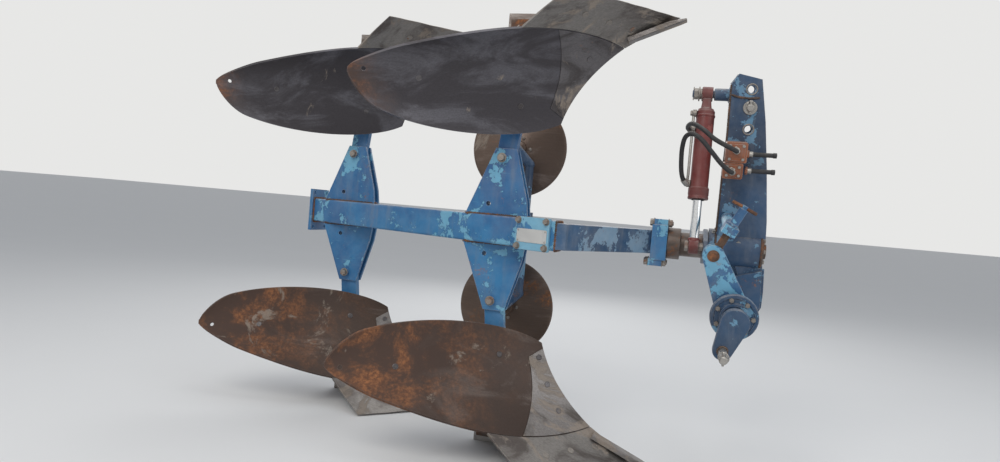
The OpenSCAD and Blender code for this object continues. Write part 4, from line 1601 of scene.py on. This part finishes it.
@dataclass
class DiscCoulter:
    """One disc coulter of the rear body: the disc with its hub, and the arm with its clamp."""

    shop: Workshop
    upper: bool
    centre: tuple = (-41.0, 130.0, -331.0)  # middle of the lower disc
    arm: tuple = (19.0, 84.0)  # x and y of the arm's clamp
    radius: float = 200.0
    bolt_r: float = 48.0

    def _in_place(self, *skins: Skin) -> Skin:
        """Joins skins, mirrors them in z for the upper coulter and moves them to the row frame."""
        skin = joined(*skins)
        return in_turnover(Skin(skin.verts * np.array([1, 1, -1 if self.upper else 1]), skin.faces))

    def build(self) -> None:
        """Builds the disc, its hub bolts, the arm and its clamp."""
        side = "upper" if self.upper else "lower"
        body = Body.DISC_UPPER if self.upper else Body.DISC_LOWER
        r, (x, y, z) = self.radius, self.centre
        disc = turned([(0, -26), (26, -26), (30, -24), (34, -8), (62, -4.5), (66, -2.5), (150, -2.5),
                       (r - 14, -2.3), (r - 1, -0.5), (r, 0), (r - 1, 0.5), (r - 14, 2.3), (150, 2.5), (66, 2.5),
                       (62, 4.5), (36, 6), (34, 18), (32, 20), (0, 20)], self.centre, Y_AXIS, 120)
        self.shop.piece(f"coulter_disc_turned_{side}", self._in_place(disc), "disc rust", "disc_rust", body,
                        (f"coulter_disc_{side}",), angle=28)
        places = around((x, y - 5.0, z), self.bolt_r, 1, even_turn(5))
        bolts = [hex_bolt(p, NEAR, 13, False, stud=3) for p in places]
        self.shop.bolts(f"disc_hub_bolts_{side}", self._in_place(*bolts), body)
        self.shop.dressed(f"coulter_arm_{side}", "hitch blue", "beam_paint", Body.TURNOVER)
        x, y = self.arm
        clamp = [hex_bolt((x + dx, y - 30, -48), NEAR, 19, stud=6) for dx in (-18, 18)]
        clamp.append(turned([(0, -27), (31, -27), (33, -25), (33, -20), (31, -18), (0, -18)], (x, y, -8),
                            Z_AXIS, 40))
        self.shop.bolts(f"coulter_clamp_{side}", self._in_place(*clamp), Body.TURNOVER)


# --- Headstock ---


def linch_pin(top: tuple, side: tuple, length: float = 46.0, ring: float = 17.0) -> Skin:
    """Upright linch pin with its spring ring: loop = top + (3 - r + r cos w) Z + r sin w side.

    Args:
        top: the underside of its head.
        side: direction that the ring spreads in.
        length: length of the pin.
        ring: radius r of the ring.

    Returns:
        The skin of the pin and its ring.
    """
    shaft = turned([(0, -length), (3.2, -length), (4.6, 4 - length), (4.6, 0), (7.5, 0.5), (7.5, 5), (6, 7),
                    (0, 7)], top, Z_AXIS, 20)
    up, across = np.asarray(Z_AXIS), unit(side)
    w = np.linspace(0.10 * np.pi, 1.9 * np.pi, 48)[:, None]
    loop = np.asarray(top) + up * (3 - ring) + up * (ring * np.cos(w)) + across * (ring * np.sin(w))
    return joined(shaft, sweep(loop, circle(1.9, 8), np.cross(up, across)))


@dataclass
class Hitch:
    """Crank axle across the foot of the tower, with its flange, cranks, pins and adjusting spindle."""

    shop: Workshop
    pin_r: float = 14.0
    flange_r: float = 78.0
    flange_in: float = 84.0  # from the crank's outer end to the flange's seat
    flange_bolt_r: float = 60.0  # circle of the flange's bolts
    ring_y: tuple = (-306.5, -277.5, -60.5, 60.5)  # the weld rings round the axle
    spindle: tuple = (753.0, -292.0, 33.0)  # pivot of the adjusting spindle on the lever
    trunnion: tuple = (797.0, 122.0)  # x and z of the trunnion that it screws through
    thread: tuple = (37.5, 116.0)  # where the spindle's thread starts and ends, from the pivot
    bar_at: float = 186.0  # where the cross bar passes through the spindle's head

    def build(self) -> None:
        """Builds the hitch's pieces."""
        for node in ("axle_tube", "crank_near", "crank_far"):
            self.shop.dressed(node, "hitch blue", "headstock_paint", Body.HEADSTOCK, 2.5)
        self.shop.dressed("adjusting_lever", "lever blue", "beam_paint", Body.HEADSTOCK, 2.5)
        self.shop.dressed("spindle_trunnion", "lever blue", "beam_paint", Body.HEADSTOCK)
        self._flange()
        for side in (-1, 1):
            self._pin(side)
        self._spindle()

    def _flange(self) -> None:
        """Round bearing flange with a raised rim and seven bolts, and the weld rings round the axle."""
        r, y = self.flange_r, -HITCH_HALF + self.flange_in
        prof = [(0, 0), (r - 2, 0), (r, 2), (r, 16), (r - 2, 18), (r - 12, 18), (r - 15, 15.5), (50, 15.5),
                (47, 20), (40, 21), (36, 18), (0, 18)]
        disc = turned(prof, (AXLE_X, y, AXLE_Z), NEAR, 72)
        self.shop.piece("bearing_flange_turned", in_headstock(disc), "hitch blue", "beam_paint", Body.HEADSTOCK,
                        ("bearing_flange",))
        places = around((AXLE_X, y - 15.4, AXLE_Z), self.flange_bolt_r, 1, np.arange(7) * 2 * np.pi / 7)
        bolts = [hex_bolt(p, NEAR, 15, False) for p in places]
        self.shop.bolts("bearing_flange_bolts", in_headstock(*bolts), Body.HEADSTOCK)
        turn = np.linspace(0, 2 * np.pi, 60)
        rings = [weld(around((AXLE_X, y + 4.5, AXLE_Z), 41, 1, turn), 4.0)]
        rings += [weld(around((AXLE_X, at, AXLE_Z), 42, 1, turn), 4.5) for at in self.ring_y]
        self.shop.welds("axle_welds", in_headstock(*rings), Body.HEADSTOCK)

    def _pin(self, side: int) -> None:
        """Hitch pin with a chamfered end, a weld ring at its shoulder and a linch pin through it.

        Args:
            side: -1 for the near pin, 1 for the far one.
        """
        name = "near" if side < 0 else "far"
        x, y, z = AXLE_X + side * CRANK_DX, side * HITCH_HALF, AXLE_Z + side * CRANK_DZ
        r, end = self.pin_r, PIN_END
        prof = [(0, PIN_START), (r, PIN_START), (r, end - 6), (r - 0.8, end - 4), (r - 3.5, end), (0, end)]
        pin = turned(prof, (x, y, z), (0, side, 0), 48)
        self.shop.piece(f"hitch_pin_turned_{name}", in_headstock(pin), "steel", "worn_steel", Body.HEADSTOCK,
                        (f"hitch_pin_{name}",))
        bead = weld(around((x, y + side, z), r + 2, 1, np.linspace(0, 2 * np.pi, 40)), 3.5, 5)
        keep = linch_pin((x, y + side * 74, z + 20), (0.9, side * 0.3, 0), 42)
        self.shop.welds(f"pin_weld_{name}", in_headstock(bead), Body.HEADSTOCK)
        self.shop.piece(f"linch_pin_{name}", in_headstock(keep), "steel", "worn_steel", Body.HEADSTOCK)

    def _spindle(self) -> None:
        """Adjusting spindle: fork eye, threaded rod, sleeve and cross bar.

        The thread's radius is 12.4 + 0.6 sign(sin(2 pi h / 4)) at height h.
        """
        b = np.asarray(self.spindle)
        d = unit([self.trunnion[0] - b[0], 0.0, self.trunnion[1] - b[2]])
        side = np.array([d[2], 0, -d[0]])
        h = np.linspace(*self.thread, 240)
        thread = np.stack([12.4 + 0.6 * np.sign(np.sin(2 * np.pi * h / 4)), h], -1)
        rod = turned([(0, h[0] - 0.1), *map(tuple, thread), (0, h[-1])], b, d, 32)
        sleeve = turned([(0, 115), (15, 115), (16.5, 116.5), (16.5, 122), (15, 123.5), (15, 176), (16.5, 178),
                         (16.5, 181), (10, 182.3), (10, 192), (0, 192)], b, d, 32)
        bar = turned([(0, -44), (4.5, -44), (5.5, -42), (5.5, 42), (4.5, 44), (0, 44)], b + d * self.bar_at,
                     side, 20)
        eye = turned(drum(15, 40, 1.5, -20), b, Y_AXIS, 32)
        tongue = slab(rounded_section(27, 56, 6), b + d * 14 + np.array([0, -8, 0]), side, d, (0, 16, 0))
        clips = [turned(drum(20, 2.5, 0.6, 14.2), b, (0, s, 0), 32) for s in (-1, 1)]
        self.shop.piece("adjusting_spindle_turned", in_headstock(rod, eye, tongue, *clips), "bar rust",
                        "rusty_steel", Body.HEADSTOCK, ("adjusting_spindle",), angle=40)
        self.shop.piece("spindle_sleeve", in_headstock(sleeve), "lever blue", "rusty_steel", Body.HEADSTOCK,
                        angle=40)
        self.shop.piece("spindle_cross_bar", in_headstock(bar), "bar rust", "rusty_steel", Body.HEADSTOCK)


@dataclass
class Tower:
    """Leaning tower of two side plates round the bearing housing, with its top-link pin and valve."""

    shop: Workshop
    gap: float = 64.0
    plate_t: float = 12.0
    pin: tuple = (836.0, 517.0)  # x and z of the top-link pin
    holes: tuple = ((836.0, 581.0), (838.0, 442.0))
    housing: tuple = (742.0, 925.0, 69.0)  # x of the housing's ends, and its radius
    nipple_x: tuple = (762.0, 756.0)  # the grease nipples on the housing
    nipple_lean: float = 0.5  # their lean towards the near side
    # Place in x and z, width and height of each cast block.
    valve: tuple = ((767.0, 327.0, 73.0, 72.0), (763.0, 270.0, 68.0, 56.0))
    block_h: float = 58.0
    lid_h: float = 4.0
    supply_x: float = 838.0  # where the supply hoses' caps start
    supply_z: tuple = (358.0, 300.0)  # heights of the supply hoses
    ports: tuple = ((800.0, 372.0), (792.0, 300.0))  # x and z of the ports of the short hoses

    @property
    def face(self) -> float:
        """Outer face of the near side plate."""
        return -self.gap / 2 - self.plate_t

    def build(self) -> None:
        """Builds the tower's pieces."""
        self.shop.dressed("tower", "headstock blue", "headstock_paint", Body.HEADSTOCK, 2.5)
        self._welds()
        self._small_parts()
        self._pin()
        self._valve()

    def _welds(self) -> None:
        """Weld seams up the tower and round the housing."""
        y = self.face - 0.5
        beads = [weld([(766, y + 1, 66), (766, y + 1, 293), (769, y + 1, 407), (765.5, y + 1, 595)], 3.4),
                 weld([(866, y, 552), (828, y, 549), (790, y, 553), (768, y, 560)], 4.2)]
        x0, x1, r = self.housing
        turn = np.linspace(math.radians(-48), math.radians(228), 60)
        beads += [weld(around((x, 0, 0), r + 1, 0, turn), 4.0) for x in (x0 + 24, x1 + 2)]
        self.shop.welds("tower_welds", in_headstock(*beads), Body.HEADSTOCK)

    def _small_parts(self) -> None:
        """Rims of the open holes, the housing's grease nipples, a bolt and a plug."""
        turn = np.linspace(0, 2 * np.pi, 48)
        rims = [sweep(around((x, self.face - 0.6, z), 18.0, 1, turn), circle(2.2, 8), Y_AXIS)
                for x, z in self.holes]
        self.shop.bolts("tower_hole_rims", in_headstock(*rims), Body.HEADSTOCK)
        out = np.array([0.0, -math.sin(self.nipple_lean), math.cos(self.nipple_lean)])
        parts = [turned([(0, 0), (4.5, 0), (4.5, 4), (3, 5), (3, 8), (3.6, 9.5), (2.4, 12), (0, 12)],
                        np.array([x, 0, 0]) + out * self.housing[2], out, 12) for x in self.nipple_x]
        parts += [hex_bolt((x, self.face - 0.2, z), NEAR, size)
                  for x, z, size in ((806, 86, 17), (846, 30, 22))]
        self.shop.piece("grease_nipples", in_headstock(*parts), "steel", "worn_steel", Body.HEADSTOCK)

    def _pin(self) -> None:
        """Top-link pin in its hole, with a washer and a linch pin."""
        x, z = self.pin
        y = self.face - 22
        end = -2 * self.face + 40
        pin = turned([(0, 0), (10, 0), (12.7, 2.5), (12.7, end - 3), (10, end), (0, end)], (x, y, z), Y_AXIS, 40)
        washer = turned([(12, 0), (23, 0), (24, 1), (24, 5), (23, 6), (12, 6), (0, 6), (0, 0)],
                        (x, self.face - 6.4, z), Y_AXIS, 40)
        keep = linch_pin((x, y + 8, z + 19), (1, 0, 0.1), 38, 14)
        self.shop.piece("top_link_pin_turned", in_headstock(pin, washer), "steel", "worn_steel", Body.HEADSTOCK,
                        ("top_link_pin",))
        self.shop.piece("top_link_linch_pin", in_headstock(keep), "steel", "worn_steel", Body.HEADSTOCK)

    def _valve(self) -> None:
        """Turnover valve: two cast blocks with lids, their bolts, caps and ports, and the supply hoses' stubs."""
        y = self.face - 0.3
        blocks, bolts, fittings, stubs = [], [], [], []
        for x, z, w, h in self.valve:
            middle = np.array([x + w / 2, y, z + h / 2])
            blocks.append(slab(rounded_section(w, h, 7), middle, X_AXIS, Z_AXIS, (0, -self.block_h, 0)))
            blocks.append(slab(rounded_section(w - 16, h - 14, 6), middle - np.array([0, self.block_h, 0]), X_AXIS,
                               Z_AXIS, (0, -self.lid_h, 0)))
            top = y - self.block_h - self.lid_h
            bolts += [hex_bolt((x + dx, top, z + dz), NEAR, 10, False)
                      for dx in (14, w - 14) for dz in (13, h - 13)]
        for x, z in self.ports:
            at = (x, self.face - 61, z)
            fittings.append(turned([(0, 0), (13, 0), (13, 12), (11, 13), (0, 13)], at, NEAR, 6))
            fittings.append(turned([(0, 12), (10, 12), (10, 24), (9, 31), (0, 31)], at, NEAR, 24))
        for z in self.supply_z:
            at = (self.supply_x, y - 34, z)
            blocks.append(turned([(0, 0), (13, 0), (14.5, 2), (14.5, 8), (11, 10), (0, 10)], at, X_AXIS, 6))
            fittings.append(turned([(0, 8), (10.5, 8), (11, 10), (11, 20), (9.5, 22), (0, 22)], at, X_AXIS, 24))
            stubs.append(turned([(0, 18), (8, 18), (8, 88), (9.4, 89), (9.4, 100), (6, 101), (0, 101)], at,
                                X_AXIS, 28))
        self.shop.piece("valve_block_cast", in_headstock(*blocks), "valve orange", "valve_rust", Body.HEADSTOCK,
                        ("valve_block",), bevel=2.0)
        self.shop.piece("valve_fittings", in_headstock(*bolts, *fittings), "steel", "worn_steel", Body.HEADSTOCK)
        self.shop.piece("supply_hose_stubs", in_headstock(*stubs), "rubber", "hose_rubber", Body.HEADSTOCK)


# --- Turnover cylinder ---


@dataclass
class TurnoverCylinder:
    """Double-acting cylinder between the stub axle on the tower and the crank on the swivel shaft."""

    shop: Workshop
    pivot: tuple = (689.0, 0.0, 558.0)  # middle of the barrel's eye
    barrel_r: float = 32.0
    rod_r: float = 16.0
    crank_r: float = 140.0  # from the swivel axis to the rod's eye
    half_turn: float = math.radians(80)  # angle of the crank at rest
    barrel_ends: tuple = (62.0, 374.0)  # from the pivot to the barrel's upper and lower ends
    crank_face: float = 722.0  # x of the crank's rear face
    ports: tuple = ((-12.0, -128.0), (-6.0, -328.0), (-12.0, -74.0))  # y and z of the barrel's fittings

    @property
    def eye(self) -> Array:
        """The rod's eye at rest, on the crank."""
        angle = self.half_turn
        return np.array([self.pivot[0], -self.crank_r * math.sin(angle), self.crank_r * math.cos(angle)])

    @property
    def length(self) -> float:
        """Distance from the pivot to the rod's eye at rest."""
        return float(np.linalg.norm(self.eye - np.asarray(self.pivot)))

    def local(self, *skins: Skin) -> Skin:
        """Joins cylinder skins, whose barrel runs along -Z from the pivot, and moves them to the row frame.

        Each point is pivot + x X + y third + z axis, where axis runs from the rod's eye to the pivot.

        Args:
            *skins: the skins in cylinder millimetres.

        Returns:
            The joined skin in metres.
        """
        skin = joined(*skins)
        axis = unit(np.asarray(self.pivot) - self.eye)
        frame = np.array([X_AXIS, np.cross(axis, X_AXIS), axis])
        return in_headstock(Skin(np.asarray(self.pivot) + skin.verts @ frame, skin.faces))

    def build(self) -> None:
        """Builds the stub axle, the barrel with its ports and pipe, and the rod."""
        self._stub_axle()
        self._barrel()
        self._barrel_fittings()
        self._rod()

    def _stub_axle(self) -> None:
        """Stub axle with a shoulder, and its nut, washer, spacer and split pin."""
        x, z = self.pivot[0], self.pivot[2]
        axle = turned([(0, -52), (11, -52), (13, -50), (13.9, -44), (13.9, 24), (20, 24.3), (22, 26), (22, 71),
                       (28, 74), (28, 75.6), (0, 75.6)], self.pivot, X_AXIS, 40)
        nut = turned([(0, -46), (19, -46), (20, -44), (20, -31), (0, -31)], self.pivot, X_AXIS, 6)
        washer = turned([(0, -30.6), (25, -30.6), (26, -29.5), (26, -27), (25, -26), (0, -26)], self.pivot,
                        X_AXIS, 32)
        spacer = turned([(0, -26), (19, -26), (19, -19.4), (0, -19.4)], self.pivot, X_AXIS, 32)
        bends = ((-4, 15), (-2, 20), (2, 20), (3, -18), (10, -22))
        split = tube([(x - 48, y, z + up) for y, up in bends], 1.6, 30, 8, (1, 0.1, 0.05))
        self.shop.piece("cylinder_stub_axle_turned", in_headstock(axle), "headstock blue", "worn_steel",
                        Body.HEADSTOCK, ("cylinder_stub_axle",))
        self.shop.bolts("stub_axle_nut", in_headstock(nut, washer, spacer, split), Body.HEADSTOCK)

    def _barrel(self) -> None:
        """Barrel with its eye, neck, weld ring and gland."""
        r, (top, foot) = self.barrel_r, self.barrel_ends
        prof = [(0, 10 - top), (20, 10 - top), (27, 6 - top), (r - 2, -top), (r, -top - 3), (r, -top - 15),
                (r + 1.8, -top - 17), (r + 2.2, -top - 20), (r + 1.6, -top - 23), (r, -top - 25), (r, 38 - foot),
                (r + 2, 34 - foot), (r + 4, 31 - foot), (r + 4, 8 - foot), (r + 3, 6 - foot), (r + 3, 2 - foot),
                (r + 4, -foot), (r + 4, -foot - 6), (r + 2.5, -foot - 8), (21, -foot - 8), (19, -foot - 6),
                (self.rod_r + 0.2, -foot - 5), (0, -foot - 5)]
        body = turned(prof, CENTRE, Z_AXIS, 64)
        eye = turned([(0, -19), (24.5, -19), (26, -17.5), (26, 17.5), (24.5, 19), (0, 19)], CENTRE, X_AXIS, 48)
        s = np.linspace(0, 1, 20)
        path = np.outer(-10 + (18 - top) * s, Z_AXIS)
        neck = sweep(path, rounded_section(30, 34, 6), Y_AXIS, 1 + 0.25 * s ** 2)
        self.shop.piece("cylinder_barrel_turned", self.local(body, eye, neck), "maroon", "cylinder_maroon",
                        Body.BARREL, ("cylinder_barrel",))

    def _barrel_fittings(self) -> None:
        """Hard pipe down the barrel's side, the banjo fittings at its ports and the wiper round the rod."""
        x = -self.barrel_r - 9.0
        pipe = tube([(x + 8, -12, -70), (x, -12, -76), (x, -12, -100), (x, -12, -150), (x, -12, -235),
                     (x, -11, -290), (x, -7, -318), (x + 7, -6, -328)], 5.0, 70, 16, (0, 1, 0.03))
        banjos = []
        for y, z in self.ports:
            at = (-self.barrel_r + 1, y, z)
            banjos.append(turned([(0, 0), (12, 0), (13, 1), (13, 13), (12, 14), (8, 14.5), (0, 14.5)], at,
                                 (-1, 0, 0), 24))
            banjos.append(turned([(0, 14), (9, 14), (9.5, 15), (9.5, 20), (8.2, 22), (0, 22)], at, (-1, 0, 0), 6))
        self.shop.piece("cylinder_pipe_bent", self.local(pipe), "steel", "worn_steel", Body.BARREL,
                        ("cylinder_pipe",))
        self.shop.bolts("cylinder_banjos", self.local(*banjos), Body.BARREL)
        wiper = turned([(0, 0), (22, 0), (22, 3), (self.rod_r + 0.3, 3.4), (0, 3.4)],
                       (0, 0, -self.barrel_ends[1] - 8.5), (0, 0, -1), 48)
        self.shop.piece("rod_wiper", self.local(wiper), "rubber", "hose_rubber", Body.BARREL)

    def _rod(self) -> None:
        """Chromed rod with a welded eye and the pin that reaches to the crank."""
        r, foot = self.rod_r, (0, 0, -self.length)
        inner, reach = self.length - self.barrel_ends[1] + 140, self.crank_face - self.pivot[0] - 0.7
        rod = turned([(0, 22), (r, 22), (r, inner), (0, inner)], foot, Z_AXIS, 48)
        neck = turned([(0, 18), (21, 18), (21, 25), (18, 30), (16.4, 31), (0, 31)], foot, Z_AXIS, 40)
        eye = turned([(0, -17), (25.5, -17), (27, -15.5), (27, 15.5), (25.5, 17), (0, 17)], foot, X_AXIS, 48)
        pin = turned([(0, -27), (11, -27), (13, -25), (13, reach), (0, reach)], foot, X_AXIS, 40)
        head = turned([(0, -31), (17, -31), (18.5, -29.5), (18.5, -19), (0, -19)], foot, X_AXIS, 6)
        self.shop.piece("cylinder_rod_turned", self.local(rod), "chrome", "rod_chrome", Body.ROD,
                        ("cylinder_rod",))
        self.shop.piece("rod_eye", self.local(eye, neck), "maroon", "cylinder_maroon", Body.ROD)
        self.shop.bolts("rod_eye_pin", self.local(pin, head), Body.ROD)


@dataclass
class ShortHose:
    """Hose from the valve to a port of the cylinder, with a crimped fitting at each end."""

    shop: Workshop
    name: str
    route: list  # points that it passes through, in headstock millimetres
    radius: float = 8.0
    crimp: float = 2.6  # how far the crimps stand out of it
    fixed: tuple = (18, -14)  # points of its path at the valve end and at the port end; not used

    def build(self) -> None:
        """Builds the hose, left attached to no body, and its two crimped ends."""
        path = smooth_path(self.route, 90)
        line = headstock(path)
        hose = in_headstock(sweep(path, circle(self.radius), HOSE_REF))
        obj = self.shop.piece(f"{self.name}_tube", hose, "rubber", "hose_rubber", Body.HEADSTOCK, (self.name,),
                              ride=False)
        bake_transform(obj)
        for label, part, body in (("valve", path[:9], Body.HEADSTOCK), ("port", path[-8:], Body.BARREL)):
            grip = sweep(part, circle(self.radius + self.crimp, 24), HOSE_REF)
            self.shop.piece(f"{self.name}_{label}_crimp", in_headstock(grip), "steel", "worn_steel", body)


HOSE_UPPER = [[800, -166, 372], [799, -178, 373], [786, -192, 380], [760, -200, 392], [722, -204, 412],
              [690, -196, 436], [662, -172, 452], [644, -138, 456], [634, -102, 448], [632, -74, 438],
              [636, -52, 433], [646, -40, 431]]
HOSE_LOWER = [[792, -166, 300], [791, -178, 301], [778, -192, 308], [750, -202, 332], [714, -208, 372],
              [680, -206, 408], [650, -194, 424], [628, -176, 412], [620, -158, 376], [620, -140, 330],
              [624, -122, 286], [632, -108, 258], [646, -96, 240]]


# --- Studio ---


@dataclass
class Studio:
    """Camera at the photograph's viewing angle, soft lamps, a pale floor and the world round them."""

    place: tuple = (643.0, -2730.0, 76.0)  # where the camera stands, in turnover millimetres
    yaw: float = 14.47
    pitch: float = 1.84
    roll: float = 4.91
    lens: float = 25.2
    pale: tuple = (0.80, 0.80, 0.79)
    sky: tuple = (0.84, 0.88, 0.95)
    sky_strength: float = 0.46
    floor_half: float = 120.0  # half the floor's side, in metres

    def build(self) -> None:
        """Builds the whole studio."""
        self.camera()
        self.world()
        self.floor()
        for name, at, aim, size, watts, tint in (
                ("key lamp", (-1.6, -3.4, 3.4), (0.0, 0.4, 0.1), 2.6, 92, (1.0, 0.97, 0.93)),
                ("fill lamp", (3.2, -2.2, 1.8), (-0.2, 0.4, 0.1), 3.0, 30, (0.93, 0.96, 1.0)),
                ("top lamp", (-0.4, 0.6, 4.2), (-0.4, 0.4, 0.0), 3.4, 44, (0.97, 0.98, 1.0)),
                ("back lamp", (-1.4, 4.2, 2.4), (-0.4, 0.3, 0.1), 2.4, 36, (1.0, 1.0, 1.0))):
            self.lamp(name, at, aim, size, watts, tint)

    @staticmethod
    def _set_up(obj: Object, right: Array, up: Array, back: Array, place: Array) -> None:
        """Places an object by its axes.

        Args:
            obj: a camera or a lamp.
            right: its X.
            up: its Y.
            back: its Z, away from what it faces.
            place: where it stands, in metres.
        """
        m = np.eye(4)
        m[:3] = np.stack([right, up, back, place], -1)
        obj.matrix_world = Matrix(m.tolist())

    def camera(self) -> None:
        """Camera with the axes of its yaw and pitch, rolled so that the picture turns clockwise."""
        yaw, pitch, roll = map(math.radians, (self.yaw, self.pitch, self.roll))
        level = np.array([-math.sin(yaw), math.cos(yaw), 0.0]) * math.cos(pitch)
        forward = level - np.array([0.0, 0.0, math.sin(pitch)])
        right = np.array([math.cos(yaw), math.sin(yaw), 0.0])
        up = np.cross(right, forward)
        data = bpy.data.cameras.new("camera")
        data.sensor_fit, data.sensor_width, data.lens = "HORIZONTAL", 36.0, self.lens
        data.clip_start, data.clip_end = 0.05, 200.0
        cam = new_object("camera", data)
        cos, sin = math.cos(roll), math.sin(roll)
        self._set_up(cam, right * cos + up * sin, up * cos - right * sin, -forward, turnover(self.place))
        bpy.context.scene.camera = cam

    def lamp(self, name: str, at: tuple, aim: tuple, size: float, watts: float, tint: tuple) -> None:
        """Adds one square soft lamp.

        Args:
            name: the lamp's name.
            at: where it hangs, in metres.
            aim: the point that it faces.
            size: length of its side.
            watts: its power.
            tint: its colour.
        """
        data = bpy.data.lights.new(name, "AREA")
        data.size, data.energy, data.color = size, watts, tint
        back = unit(np.asarray(at) - np.asarray(aim))
        right = unit(np.cross(Z_AXIS, back))
        self._set_up(new_object(name, data), right, np.cross(back, right), back, np.asarray(at))

    def world(self) -> None:
        """World that lights softly and shows pale to the camera, in reflections and through glass."""
        world = bpy.data.worlds.new("studio")
        bpy.context.scene.world = world
        world.use_nodes = True
        world.node_tree.nodes.clear()
        net = Net(world.node_tree)
        ray = net.node("ShaderNodeLightPath").outputs
        seen = net.larger(ray["Is Camera Ray"], net.larger(ray["Is Glossy Ray"], ray["Is Transmission Ray"]))
        light = net.node("ShaderNodeBackground")
        net.feed(light.inputs["Color"], self.sky)
        net.feed(light.inputs["Strength"], self.sky_strength)
        shown = net.node("ShaderNodeBackground")
        net.feed(shown.inputs["Color"], self.pale)
        mix = net.node("ShaderNodeMixShader")
        for socket, value in zip(mix.inputs, (seen, light.outputs[0], shown.outputs[0])):
            net.feed(socket, value)
        net.feed(net.node("ShaderNodeOutputWorld").inputs["Surface"], mix.outputs[0])

    def floor(self) -> None:
        """Pale floor under the lower bodies, with a very faint mottle."""
        z, r = turnover([0.0, 0.0, GROUND_Z])[2], self.floor_half
        mesh = bpy.data.meshes.new("floor")
        mesh.from_pydata([(-r, -r, z), (r, -r, z), (r, r, z), (-r, r, z)], [], [(0, 1, 2, 3)])
        net, shader = new_material("floor")
        cloud = net.noise(net.object_point(), 1.6, 5.0, 0.6)
        net.feed(shader.inputs["Base Color"], net.blend(cloud, tuple(0.97 * c for c in self.pale), self.pale))
        net.feed(shader.inputs["Roughness"], 0.9)
        mesh.materials.append(bpy.data.materials["floor"])
        new_object("floor", mesh)


def main() -> None:
    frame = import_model()
    bpy.context.scene.view_settings.view_transform = "Standard"
    Studio().build()
    shop = Workshop(frame["nodes"])
    effects = Effects()
    for name, finish in FINISHES.items():
        shop.finishes[name] = finish.build(name, effects)
    ShortHose(shop, "short_hose_upper", HOSE_UPPER).build()
    ShortHose(shop, "short_hose_lower", HOSE_LOWER).build()
    Beam(shop).build()
    for place in Place:
        PloughBody(shop, place).build()
    DiscCoulter(shop, upper=False).build()
    DiscCoulter(shop, upper=True).build()
    shop.dressed("coulter_bar", "beam blue", "beam_paint", Body.TURNOVER, 2.5)
    Tower(shop).build()
    Hitch(shop).build()
    TurnoverCylinder(shop).build()
    LOG.info("%d pieces", len(shop.made))


if __name__ == "__main__":
    logging.basicConfig(level=logging.INFO, format="%(name)s: %(message)s")
    main()
